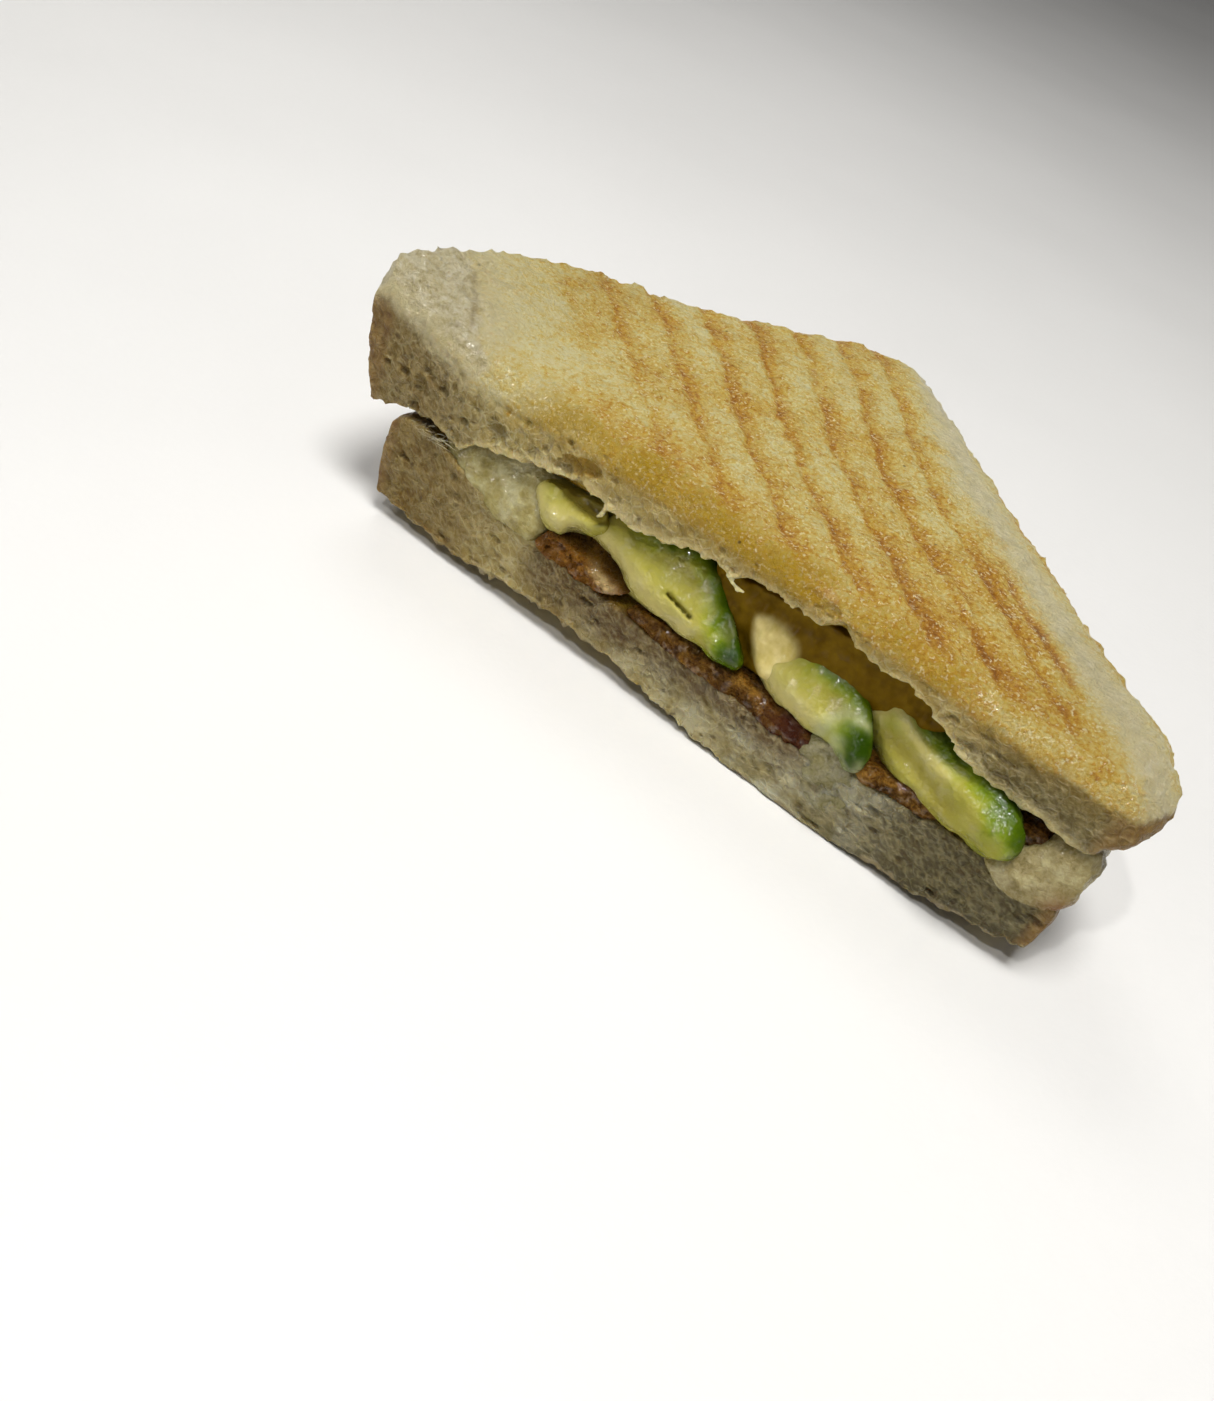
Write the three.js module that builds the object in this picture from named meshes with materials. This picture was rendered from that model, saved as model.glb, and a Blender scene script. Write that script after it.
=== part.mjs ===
// One half of a pressed and toasted bacon, avocado and cheese sandwich, cut corner to corner.
// Millimetres, +Z up. The cut face looks along -Y, the toasted crust corner points along +Y.
import * as THREE from 'three';

// Driving dimensions of the pressed half.
const TOAST_HEIGHT = 37.2;        // crown of the upper toasted face
const MEET_HEIGHT = 19.6;         // where the slices pinch together at the crust
const MEET_RISE = 3.2;            // extra pinch height at the right-hand end
const FRONT_DROP = 2.0;           // the toasted face sinks this far at the cut
const FRONT_DROP_LENGTH = 5;
const LEFT_SWELL = 6;             // the corner at the left-hand end is less pressed
const LEFT_SWELL_START = -30;
const LEFT_SWELL_DEPTH = 45;
const LEFT_SWELL_POWER = 1.5;
const CORNER_RADIUS = 15;
const GAP = 0.35;                 // clearance between touching pieces at the cut
const INNER_GAP = 0.5;            // more clearance deep inside
const INNER_GAP_DEPTH = 10;
const PINCH_START = 3;            // distances in from the crust where the filling space opens
const PINCH_END = 19;
const CURL_LENGTH = 14;           // depth over which the lower edge of the cut curls up
const RIGHT_GAPE = 6.5;           // the slices stay apart at the right-hand end of the cut
const RIGHT_GAPE_ALONG = [48, 66];
const RIGHT_GAPE_DEPTH = [6, 22];

// Corners of each slice in plan, from the left end of the cut round the crust to its right end.
const UPPER_CORNERS = [[-58.5, 0], [-58.5, 35], [-5, 93], [83.5, 9], [74, 0]];
const LOWER_CORNERS = [[-53, 0], [-53, 31], [-5, 88], [79, 6.5], [75, 0]];
const UPPER_RIM = { top: 5, bottom: 3.5, bulge: 0.8 };
const LOWER_RIM = { top: 3, bottom: 3.5, bulge: 0.8 };
const SLICE_SPACING = 3.6;        // between the cross-sections of a slice
const SLICE_END_LENGTH = 7;       // the cross-sections crowd together over this length at each end
const SLICE_TIP_WIDTH = 3;        // a slice stops where it is this narrow

// Heights along the cut at a few stations: [distance along the cut, height].
const UPPER_UNDERSIDE = [[-58, 18.6], [-48, 21.4], [-35, 23.1], [-12, 26.2], [0, 28.8], [15, 30.4],
  [28, 32], [43, 32.2], [55, 28.6], [65, 25.6], [71, 24], [80, 24]];
const LOWER_TOP = [[-53, 19], [-42, 16.6], [-33, 14.7], [-22, 13.1], [-7, 11.5], [10, 10.3],
  [28, 10], [40, 12.4], [50, 13.4], [60, 13.9], [68, 16.2], [76, 17]];
const LOWER_CURL = [[-53, 3.6], [-38, 2.3], [-12, 4.2], [5, 2.4], [18, 0.5], [37, 0], [50, 0.9],
  [62, 2], [76, 3.6]];

// Melted cheese: a thin sheet on the lower slice that runs out over the cut at three places.
const CHEESE_THICKNESS = 1.4;
const CHEESE_INSET = 9;           // in from the crust
const CHEESE_LEAST_DEPTH = 4;
const CHEESE_SET_BACK = 0.2;      // behind the cut, between the runs
const DRAPE_THICKNESS = 1.1;
const CHEESE_ENDS = [-43, 73.5];
const CHEESE_MOUND = { start: 63, length: 8, height: 4, depth: [2, 14] };
const CHEESE_RUNS = [
  { x: -33.5, halfWidth: 8, drop: 4.5 },
  { x: 34, halfWidth: 6.5, drop: 5 },
  { x: 67.2, halfWidth: 5.4, drop: 4 },
];
const RUN_SHOULDER = 2.5;
const RUN_ROUNDING = 0.4;         // of the thickness, at the shoulder of a run
const RUN_LIP = { drop: 0.85, raise: 0.3 };
const RUN_INSIDE = { drop: 0.7, clearance: 0.06 };

// Bacon rashers lie on the cheese and run in from the cut.
const BACON_THICKNESS = 2.3;
const BACON_WAVE = 0.5;
const BACON_WAVE_COUNT = 2.6;
const BACON_EDGE = 0.3;           // the long edges are thinner by this part of the thickness
const BACON_INSET = 13.5;         // in from the crust at the far end
const BACON_LEAST_LENGTH = 8;
const BACON_RASHERS = [
  { from: -22, to: -5 },
  { from: 1.5, to: 36 },
  { from: 43, to: 53 },
  { from: 56, to: 63.5 },
];

// Avocado slices lean against each other on the bacon and run in from the cut.
const AVOCADO_FLOOR = 5.2;        // above the lower slice, over the cheese and the bacon
const AVOCADO_DRIFT = -0.22;      // sideways per millimetre of depth
const WEDGE_SIDES = 14;
const WEDGE_SQUARENESS = 0.8;     // 1 is an oval, less is squarer
const AVOCADO_SLICES = [
  { x: -18.4, z: 21.6, halfLength: 7.9, halfThickness: 3.4, tilt: -8, length: 36, bulge: 0.6 },
  { x: 3.8, z: 22.0, halfLength: 13.4, halfThickness: 6, tilt: -9, length: 60, bulge: 1.8 },
  { x: 31.4, z: 21.6, halfLength: 10.8, halfThickness: 6, tilt: -20, length: 44, bulge: 1.8 },
  { x: 53, z: 23.1, halfLength: 13, halfThickness: 5, tilt: -21, length: 17, bulge: 2.6 },
];
const SAUCE = { x: 19.2, z: 21.8, halfLength: 1.3, halfThickness: 4.6, tilt: 0, length: 34, bulge: 1.2 };

// A smooth curve through a few stations, level beyond the first and the last.
function smoothProfile(stations) {
  const slope = stations.map((point, i) => {
    if (i === 0 || i === stations.length - 1) return 0;
    const before = stations[i - 1];
    const after = stations[i + 1];
    return (after[1] - before[1]) / (after[0] - before[0]);
  });
  return (x) => {
    const last = stations.length - 1;
    if (x <= stations[0][0]) return stations[0][1];
    if (x >= stations[last][0]) return stations[last][1];
    const i = stations.findIndex((point) => x < point[0]) - 1;
    const [x0, z0] = stations[i];
    const [x1, z1] = stations[i + 1];
    const span = x1 - x0;
    const t = (x - x0) / span;
    const rise = z0 + (z1 - z0) * t * t * (3 - 2 * t);
    return rise + span * (slope[i] * t * (1 - t) ** 2 - slope[i + 1] * t * t * (1 - t));
  };
}

// Distance in from the crust of a slice, with its corners rounded.
function crustDistance(corners) {
  const edges = corners.slice(1).map((to, i) => {
    const from = corners[i];
    const length = Math.hypot(to[0] - from[0], to[1] - from[1]);
    const normal = [(to[1] - from[1]) / length, -(to[0] - from[0]) / length];
    return { from, normal };
  });
  return (x, y) => {
    let outside = 0;
    for (const { from, normal } of edges) {
      const inside = normal[0] * (x - from[0]) + normal[1] * (y - from[1]);
      outside += Math.max(CORNER_RADIUS - inside, 0) ** 2;
    }
    return CORNER_RADIUS - Math.sqrt(outside);
  };
}

const smoothstep = THREE.MathUtils.smoothstep;
const lerp = THREE.MathUtils.lerp;
const clamp = THREE.MathUtils.clamp;

const upperDistance = crustDistance(UPPER_CORNERS);
const lowerDistance = crustDistance(LOWER_CORNERS);
const upperUnderside = smoothProfile(UPPER_UNDERSIDE);
const lowerTop = smoothProfile(LOWER_TOP);
const lowerCurl = smoothProfile(LOWER_CURL);

// How much a quarter-round edge of this radius takes off at a distance in from the crust.
function edgeRound(distance, radius) {
  const reach = clamp(radius - distance, 0, radius);
  return radius - Math.sqrt(radius * radius - reach * reach);
}

function meetHeight(x) {
  return MEET_HEIGHT + MEET_RISE * smoothstep(x, 0, UPPER_CORNERS[3][0]);
}

function clearance(y) {
  return GAP + INNER_GAP * smoothstep(y, 0, INNER_GAP_DEPTH);
}

function toastHeight(x, y) {
  const depth = Math.max(y, 0);
  const toEnd = clamp((LEFT_SWELL_START - x) / (LEFT_SWELL_START - UPPER_CORNERS[0][0]), 0, 1);
  const swell = LEFT_SWELL * toEnd ** LEFT_SWELL_POWER * Math.exp(-depth / LEFT_SWELL_DEPTH);
  return TOAST_HEIGHT + swell - FRONT_DROP * Math.exp(-depth / FRONT_DROP_LENGTH);
}

function ceilingHeight(x, y) {
  const open = smoothstep(upperDistance(x, y), PINCH_START, PINCH_END);
  const pinched = meetHeight(x) + GAP;
  return lerp(pinched, Math.max(upperUnderside(x), pinched), open);
}

function fillingFloor(x, y) {
  const open = smoothstep(lowerDistance(x, y), PINCH_START, PINCH_END);
  const gape = smoothstep(x, ...RIGHT_GAPE_ALONG) * (1 - smoothstep(y, ...RIGHT_GAPE_DEPTH));
  const pinched = meetHeight(x) - GAP - RIGHT_GAPE * gape;
  return lerp(pinched, Math.min(lowerTop(x), pinched), open);
}

// How far forward the cheese comes: 0 between the runs, 1 over the cut.
function runAmount(x) {
  const amounts = CHEESE_RUNS.map((run) => {
    const past = Math.abs(x - run.x) - run.halfWidth;
    return 1 - smoothstep(past, 0, RUN_SHOULDER);
  });
  return Math.max(...amounts);
}

function runDrop(x) {
  const drops = CHEESE_RUNS.map((run) => {
    const across = Math.min(Math.abs(x - run.x) / run.halfWidth, 1);
    return run.drop * Math.sqrt(1 - across * across);
  });
  return Math.max(...drops);
}

function cheeseBottom(x, y) {
  return fillingFloor(x, y) + clearance(y);
}

function cheeseTop(x, y) {
  const { start, length, height, depth } = CHEESE_MOUND;
  const mound = height * smoothstep(x, start, start + length) * (1 - smoothstep(y, ...depth));
  const level = cheeseBottom(x, y) + CHEESE_THICKNESS + mound;
  return Math.min(level, ceilingHeight(x, y) - clearance(y));
}

// The nearest and farthest depth at which a slice exists at this place along the cut.
function depthRange(distance, x, inset = 0) {
  const step = 0.25;
  const deepest = UPPER_CORNERS[2][1] + 3;
  let near = 0;
  while (near < deepest && distance(x, near) <= inset) near += step;
  if (near >= deepest) return [0, 0];
  let far = deepest;
  while (far > near && distance(x, far) <= inset) far -= step;
  return [near, far];
}

// A closed solid through equal loops of points, with its two ends capped.
// flat() turns a point of an end loop into the plane of that end.
function loft(loops, flat) {
  const count = loops[0].length;
  const positions = loops.flat().flatMap((point) => point.toArray());
  const index = [];
  for (let ring = 0; ring + 1 < loops.length; ring += 1) {
    for (let i = 0; i < count; i += 1) {
      const next = (i + 1) % count;
      const a = ring * count + i;
      const b = ring * count + next;
      index.push(a, b, b + count, a, b + count, a + count);
    }
  }
  const cap = (ring, reversed) => {
    const faces = THREE.ShapeUtils.triangulateShape(loops[ring].map(flat), []);
    for (const [a, b, c] of faces) {
      const corners = reversed ? [a, c, b] : [a, b, c];
      index.push(...corners.map((corner) => ring * count + corner));
    }
  };
  const endTurn = THREE.ShapeUtils.isClockWise(loops[0].map(flat));
  cap(0, !endTurn);
  cap(loops.length - 1, endTurn);
  const geometry = new THREE.BufferGeometry();
  geometry.setAttribute('position', new THREE.Float32BufferAttribute(positions, 3));
  geometry.setIndex(index);
  return faceOutward(geometry);
}

// Turns every triangle over if the solid is inside out.
function faceOutward(geometry) {
  const points = geometry.getAttribute('position');
  const index = geometry.getIndex();
  const corner = (i) => new THREE.Vector3().fromBufferAttribute(points, index.getX(i));
  let volume = 0;
  for (let i = 0; i < index.count; i += 3) {
    volume += corner(i).dot(corner(i + 1).cross(corner(i + 2)));
  }
  if (volume < 0) index.array.reverse();
  geometry.computeVertexNormals();
  return geometry;
}

// Depths from the cut to the crust, close together at the cut and round the crust.
function depthsAcross(near, far) {
  const fromCut = [0, 1.6, 4.5, 10, 17];
  const fromCrust = [0, 0.35, 1.5, 3.5, 6.5, 10.5, 15, 20, 26];
  const slack = 1.15;
  const whole = fromCut.at(-1) + fromCrust.at(-1);
  const scale = Math.min(1, (far - near) / (whole * slack));
  const front = fromCut.map((offset) => near + offset * scale);
  const back = fromCrust.map((offset) => far - offset * scale).reverse();
  const halfway = (front.at(-1) + back[0]) / 2;
  return [...front, halfway, ...back];
}

// Places along the cut: close together round the ends, evenly spaced between them.
function stationsAlong(start, end) {
  const offsets = [0, 0.06, 0.22, 0.5, 1].map((part) => part * SLICE_END_LENGTH);
  const innerStart = start + SLICE_END_LENGTH;
  const innerEnd = end - SLICE_END_LENGTH;
  const steps = Math.round((innerEnd - innerStart) / SLICE_SPACING);
  const middle = Array.from({ length: steps - 1 }, (item, i) => (
    lerp(innerStart, innerEnd, (i + 1) / steps)));
  const left = offsets.map((offset) => start + offset);
  const right = offsets.map((offset) => end - offset).reverse();
  return [...left, ...middle, ...right];
}

// A slice of bread as cross-sections along the cut, each a loop from the front over the top.
function slice({ distance, corners, top, bottom, rim }) {
  const startInset = 0.02;
  const search = 0.1;
  const left = corners[0][0] + startInset;
  let right = corners[3][0];
  const width = (x) => {
    const [near, far] = depthRange(distance, x);
    return far - near;
  };
  while (width(right) < SLICE_TIP_WIDTH) right -= search;
  const loops = stationsAlong(left, right).map((x) => {
    const [near, far] = depthRange(distance, x);
    const depths = depthsAcross(near, far);
    const over = depths.map((y) => new THREE.Vector3(
      x, y, top(x, y) - edgeRound(distance(x, y), rim.top)));
    const under = depths.map((y) => new THREE.Vector3(
      x, y, bottom(x, y) + edgeRound(distance(x, y), rim.bottom))).reverse();
    const side = over.at(-1).clone().lerp(under[0], 0.5);
    side.y += rim.bulge;
    return [...over, side, ...under];
  });
  return loft(loops, (point) => new THREE.Vector2(point.y, point.z));
}

function upperSlice() {
  return slice({
    distance: upperDistance,
    corners: UPPER_CORNERS,
    top: toastHeight,
    bottom: ceilingHeight,
    rim: UPPER_RIM,
  });
}

function lowerSlice() {
  return slice({
    distance: lowerDistance,
    corners: LOWER_CORNERS,
    top: fillingFloor,
    bottom: (x, y) => lowerCurl(x) * (1 - smoothstep(y, 0, CURL_LENGTH)),
    rim: LOWER_RIM,
  });
}

// Places along the cheese, with one at each edge and each shoulder of its runs.
function cheeseStations() {
  const longest = 3;
  const margin = 0.5;
  const edges = CHEESE_RUNS.flatMap((run) => [
    run.x - run.halfWidth - RUN_SHOULDER,
    run.x - run.halfWidth,
    run.x,
    run.x + run.halfWidth,
    run.x + run.halfWidth + RUN_SHOULDER,
  ]);
  const [left, right] = CHEESE_ENDS;
  const keys = [left, ...edges.filter((x) => x > left + margin && x < right - margin), right];
  return keys.flatMap((x, i) => {
    if (i === 0) return [x];
    const span = x - keys[i - 1];
    const steps = Math.ceil(span / longest);
    return Array.from({ length: steps }, (item, j) => keys[i - 1] + (span * (j + 1)) / steps);
  });
}

// The cheese as cross-sections along the cut: back to front on top, down the run, and back below.
function cheeseSheet() {
  const offsets = [0, 0.1, 0.25, 0.45, 0.65, 0.85, 1];
  const rounding = CHEESE_THICKNESS * RUN_ROUNDING;
  const loops = cheeseStations().map((x) => {
    const front = lerp(CHEESE_SET_BACK, -GAP - DRAPE_THICKNESS, runAmount(x));
    const inner = front + DRAPE_THICKNESS;
    const [, far] = depthRange(lowerDistance, x, CHEESE_INSET);
    const back = Math.max(far, inner + CHEESE_LEAST_DEPTH);
    const depths = offsets.map((part) => lerp(inner, back, part));
    const over = depths.map((y) => new THREE.Vector3(x, y, cheeseTop(x, y))).reverse();
    const under = depths.map((y) => new THREE.Vector3(x, y, cheeseBottom(x, y)));
    const bed = cheeseBottom(x, inner);
    const drop = runDrop(x);
    const shoulder = new THREE.Vector3(x, front, cheeseTop(x, front) - rounding);
    const lip = new THREE.Vector3(x, front, bed + RUN_LIP.raise - drop * RUN_LIP.drop);
    const tip = new THREE.Vector3(x, (front + inner) / 2, bed - drop);
    const inside = new THREE.Vector3(
      x, inner - RUN_INSIDE.clearance, bed - drop * RUN_INSIDE.drop);
    return [...over, shoulder, lip, tip, inside, ...under];
  });
  return loft(loops, (point) => new THREE.Vector2(point.y, point.z));
}

// A rasher: a thin band that follows the cheese from the cut to near the crust, a little wavy.
function rasher({ from, to }) {
  const across = 7;
  const steps = 11;
  const places = Array.from({ length: across }, (item, j) => lerp(from, to, j / (across - 1)));
  const lengths = places.map((x) => Math.max(
    depthRange(lowerDistance, x, BACON_INSET)[1], BACON_LEAST_LENGTH));
  const loops = Array.from({ length: steps + 1 }, (item, i) => {
    const wave = BACON_WAVE * (1 - Math.cos((BACON_WAVE_COUNT * Math.PI * i) / steps)) / 2;
    const under = places.map((x, j) => {
      const y = (lengths[j] * i) / steps;
      const trim = j === 0 || j === across - 1 ? BACON_EDGE : 0;
      const rest = cheeseBottom(x, y) + CHEESE_THICKNESS + clearance(y);
      return new THREE.Vector3(x, y, rest + BACON_THICKNESS * trim);
    });
    const over = under.map((point, j) => {
      const trim = j === 0 || j === across - 1 ? 2 * BACON_EDGE : 0;
      const raised = point.clone();
      raised.z += BACON_THICKNESS * (1 - trim) + wave;
      raised.z = Math.min(raised.z, ceilingHeight(point.x, point.y) - 2 * clearance(point.y));
      return raised;
    });
    return [...over, ...under.reverse()];
  });
  return loft(loops, (point) => new THREE.Vector2(point.x, point.z));
}

// A power that keeps its sign, for a squarish oval.
function signedPower(value, power) {
  return Math.sign(value) * Math.abs(value) ** power;
}

// A wedge of avocado or a spoonful of sauce: a leaning oval section that runs in from the cut,
// rounded over at the front and drawn in at the back.
function wedge({ x, z, halfLength, halfThickness, tilt, length, bulge }) {
  const angle = THREE.MathUtils.degToRad(tilt);
  const stations = [
    { y: -bulge, size: 0.55 },
    { y: -bulge * 0.6, size: 0.85 },
    { y: 0.5, size: 1 },
    { y: length * 0.25, size: 0.99 },
    { y: length * 0.5, size: 0.94 },
    { y: length * 0.75, size: 0.8 },
    { y: length * 0.93, size: 0.6 },
    { y: length, size: 0.35 },
  ];
  const floor = (px, y) => fillingFloor(px, y) + AVOCADO_FLOOR + 3 * (clearance(y) - GAP);
  const ceiling = (px, y) => ceilingHeight(px, y) - 2 * clearance(y);
  const loops = stations.map(({ y, size }) => {
    const centreX = x + AVOCADO_DRIFT * Math.max(y, 0);
    const halfway = (floor(centreX, y) + ceiling(centreX, y)) / 2;
    const centreZ = lerp(z, halfway, smoothstep(y, 0, length / 2));
    return Array.from({ length: WEDGE_SIDES }, (item, i) => {
      const turn = (2 * Math.PI * i) / WEDGE_SIDES;
      const along = halfLength * size * signedPower(Math.cos(turn), WEDGE_SQUARENESS);
      const above = halfThickness * size * signedPower(Math.sin(turn), WEDGE_SQUARENESS);
      const px = centreX + along * Math.cos(angle) - above * Math.sin(angle);
      const pz = centreZ + along * Math.sin(angle) + above * Math.cos(angle);
      return new THREE.Vector3(px, y, clamp(pz, floor(px, y), ceiling(px, y)));
    });
  });
  return loft(loops, (point) => new THREE.Vector2(point.x, point.z));
}

const sandwich = new THREE.Group();
const contents = new THREE.Group();
sandwich.add(contents);

const LOOKS = {
  crumb: { color: 0xcfc6a4, roughness: 0.85 },
  toast: { color: 0xe3c980, roughness: 0.8 },
  cheese: { color: 0xe6e2c4, roughness: 0.35 },
  bacon: { color: 0x84401f, roughness: 0.45 },
  avocado: { color: 0xb5c25a, roughness: 0.35 },
  sauce: { color: 0xe8d9a8, roughness: 0.4 },
};

function addPiece(name, geometry, look) {
  const material = new THREE.MeshStandardMaterial({ ...look, metalness: 0 });
  const mesh = new THREE.Mesh(geometry, material);
  mesh.name = name;
  contents.add(mesh);
}

addPiece('bread_lower', lowerSlice(), LOOKS.crumb);
addPiece('bread_upper', upperSlice(), LOOKS.toast);
addPiece('cheese', cheeseSheet(), LOOKS.cheese);
BACON_RASHERS.forEach((band, i) => {
  addPiece(`bacon_${i + 1}`, rasher(band), LOOKS.bacon);
});
AVOCADO_SLICES.forEach((shape, i) => {
  addPiece(`avocado_${i + 1}`, wedge(shape), LOOKS.avocado);
});
addPiece('sauce', wedge(SAUCE), LOOKS.sauce);

// The origin is under the middle of the half, on the surface it rests on.
const box = new THREE.Box3().setFromObject(sandwich);
const middle = box.getCenter(new THREE.Vector3());
contents.position.set(-middle.x, -middle.y, -box.min.z);

export default sandwich;
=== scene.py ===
"""One half of a grilled melt sandwich: two toasted slices with cheese, bacon, avocado and sauce.

Every piece is worked out in millimetres in the sandwich's own frame, where X runs along the cut,
the cut lies in the plane y = 0, the food runs back to +y, and z = 0 is the board it lies on.
Each piece is a solid field on a grid, positive inside the food, turned into a mesh at its zero level;
the upper slice has some fine threads of crumb besides.
"""

import math
from types import SimpleNamespace

import bpy
import numpy as np
from mathutils import Matrix, Vector


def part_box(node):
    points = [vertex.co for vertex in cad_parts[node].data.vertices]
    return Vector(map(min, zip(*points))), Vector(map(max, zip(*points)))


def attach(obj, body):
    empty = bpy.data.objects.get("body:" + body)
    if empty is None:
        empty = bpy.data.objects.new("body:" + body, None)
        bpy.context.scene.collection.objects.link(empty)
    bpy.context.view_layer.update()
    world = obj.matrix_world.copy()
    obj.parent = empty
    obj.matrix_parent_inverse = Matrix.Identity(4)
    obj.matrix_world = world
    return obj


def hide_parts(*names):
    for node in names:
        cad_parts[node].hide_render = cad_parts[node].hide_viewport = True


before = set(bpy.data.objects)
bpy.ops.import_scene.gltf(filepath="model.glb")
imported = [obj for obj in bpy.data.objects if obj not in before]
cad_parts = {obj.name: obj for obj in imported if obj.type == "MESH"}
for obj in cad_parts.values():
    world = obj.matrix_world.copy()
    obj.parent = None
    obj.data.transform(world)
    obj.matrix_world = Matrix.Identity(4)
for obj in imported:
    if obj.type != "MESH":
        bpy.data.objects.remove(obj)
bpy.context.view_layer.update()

MM = 0.001
FILM_ROUGHNESS = 0.06

# ---------------------------------------------------------------- the sandwich's own frame

# ORIGIN is where the sandwich's own frame starts in the CAD's frame.
UPPER_LEFT_END = -58.48
upper_low = np.array(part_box("bread_upper")[0]) / MM
ORIGIN = np.array([upper_low[0] - UPPER_LEFT_END, upper_low[1], 0.0])

# ---------------------------------------------------------------- the slices

UPPER_CORNERS = [(-58.5, 0), (-58.5, 35), (-5, 93), (83.5, 9), (74, 0)]
LOWER_CORNERS = [(-53, 0), (-53, 31), (-5, 88), (79, 6.5), (75, 0)]
CORNER_RADIUS = 15
UPPER_TOP_RIM, UPPER_BOTTOM_RIM = 5, 3.5
LOWER_TOP_RIM, LOWER_BOTTOM_RIM = 3, 3.5
RIM_BULGE = 0.8

TOAST_HEIGHT = 37.2
MEET_HEIGHT = 19.6
MEET_RISE, MEET_RISE_END = 3.2, 83.5
FRONT_DROP = 2.0
FRONT_DROP_LENGTH = 5
LEFT_SWELL = 6
LEFT_SWELL_START, LEFT_SWELL_LENGTH = -30, 28.5
LEFT_SWELL_POWER = 1.5
LEFT_SWELL_DEPTH = 45
GAP = 0.35
PINCH_START, PINCH_END = 3, 19
CURL_LENGTH = 14
RIGHT_GAPE = 6.5
RIGHT_GAPE_ALONG = (48, 66)
RIGHT_GAPE_DEPTH = (6, 22)

UPPER_UNDERSIDE = [
    (-58, 18.6), (-48, 21.4), (-35, 23.1), (-12, 26.2), (0, 28.8), (15, 30.4),
    (28, 32), (43, 32.2), (55, 28.6), (65, 25.6), (71, 24), (80, 24),
]
UPPER_EDGE = [
    (-58, 18.4), (-53.4, 20.1), (-48.2, 21.7), (-44.3, 21.7), (-39.7, 19.6), (-36.5, 22.6), (-31, 23.7),
    (-23.7, 26.6), (-18.5, 27.7), (-13.4, 27.3), (-6.9, 26.1), (-1.1, 27.2), (3.7, 29.3), (9.2, 29.3),
    (14.7, 30.6), (25.5, 30.5), (28.4, 33), (31.2, 30.9), (36.4, 30), (40, 31.0), (44.8, 29.0),
    (50.3, 26.6), (53.5, 25.6), (57, 24.9), (64.7, 25.0), (67.9, 24.2), (71.4, 23.6), (80, 25),
]
LOWER_TOP = [
    (-53, 19), (-42, 16.6), (-33, 14.7), (-22, 13.1), (-7, 11.5), (10, 10.3),
    (28, 10), (40, 12.4), (50, 13.4), (60, 13.9), (68, 16.2), (76, 17),
]
LOWER_EDGE = [
    (-53, 19), (-47, 19.8), (-42, 18.6), (-34, 16.4), (-28, 15.4), (-23.8, 14.8), (-19, 13.2),
    (-9.4, 12.8), (-2, 12.2), (10, 11.6), (22, 11.4), (28, 10.6), (33, 10.8), (37, 12.4), (42, 12.9),
    (50, 13.4), (55, 14.4), (60.5, 14.4), (66, 15.6), (72, 16.6), (80, 17),
]
LOWER_CURL = [
    (-53, 3.6), (-38, 2.3), (-12, 4.2), (5, 2.4), (18, 0.5), (37, 0),
    (50, 1.2), (62, 2.9), (76, 4.9),
]

# ---------------------------------------------------------------- small maths


def unit(value):
    """The value, kept from 0 to 1."""
    return np.clip(value, 0, 1)


def smoothstep(value, start, end):
    t = unit((value - start) / (end - start))
    return t * t * (3 - 2 * t)


def fade(value, start, end):
    """1 as far as start, falling smoothly to 0 at end."""
    return 1 - smoothstep(value, start, end)


def lerp(a, b, t):
    return a + (b - a) * t


def bell(value, middle, width):
    return np.exp(-(((value - middle) / width) ** 2))


def smooth_profile(stations, x):
    """The height at x of a smooth line through the stations, level at both ends."""
    xs, zs = (np.array(values, float) for values in zip(*stations))
    slopes = np.zeros(len(xs))
    slopes[1:-1] = (zs[2:] - zs[:-2]) / (xs[2:] - xs[:-2])
    x = np.clip(x, xs[0], xs[-1])
    i = np.clip(np.searchsorted(xs, x) - 1, 0, len(xs) - 2)
    span = xs[i + 1] - xs[i]
    t = (x - xs[i]) / span
    ease = t * t * (3 - 2 * t)
    turn = slopes[i] * t * (1 - t) ** 2 - slopes[i + 1] * t * t * (1 - t)
    return zs[i] + (zs[i + 1] - zs[i]) * ease + span * turn


def round_min(a, b, radius):
    """The smaller of two distances, with a rounded edge of that radius where they meet."""
    da, db = np.maximum(radius - a, 0), np.maximum(radius - b, 0)
    return np.where((a < radius) & (b < radius), radius - np.sqrt(da * da + db * db), np.minimum(a, b))


def soft_min(a, b, width):
    h = unit(0.5 + 0.5 * (b - a) / width)
    return lerp(b, a, h) - width * h * (1 - h)


def soft_max(a, b, width):
    return -soft_min(-a, -b, width)


def line_distance(line, x, y):
    """How far points lie from a line through the corners."""
    nearest = np.full(np.broadcast(x, y).shape, 1e9)
    for (x0, y0), (x1, y1) in zip(line[:-1], line[1:]):
        dx, dy = x1 - x0, y1 - y0
        t = unit(((x - x0) * dx + (y - y0) * dy) / (dx * dx + dy * dy + 1e-12))
        nearest = np.minimum(nearest, (x - x0 - t * dx) ** 2 + (y - y0 - t * dy) ** 2)
    return np.sqrt(nearest)


def crust_distance(corners, x, y):
    """How far a point lies inside the crust, which runs through the corners and is rounded at each."""
    total = 0
    for (x0, y0), (x1, y1) in zip(corners[:-1], corners[1:]):
        length = math.hypot(x1 - x0, y1 - y0)
        inside = ((x - x0) * (y1 - y0) - (y - y0) * (x1 - x0)) / length
        total = total + np.maximum(CORNER_RADIUS - inside, 0) ** 2
    return CORNER_RADIUS - np.sqrt(total)


def upper_distance(x, y):
    return crust_distance(UPPER_CORNERS, x, y)


def lower_distance(x, y):
    return crust_distance(LOWER_CORNERS, x, y)


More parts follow.
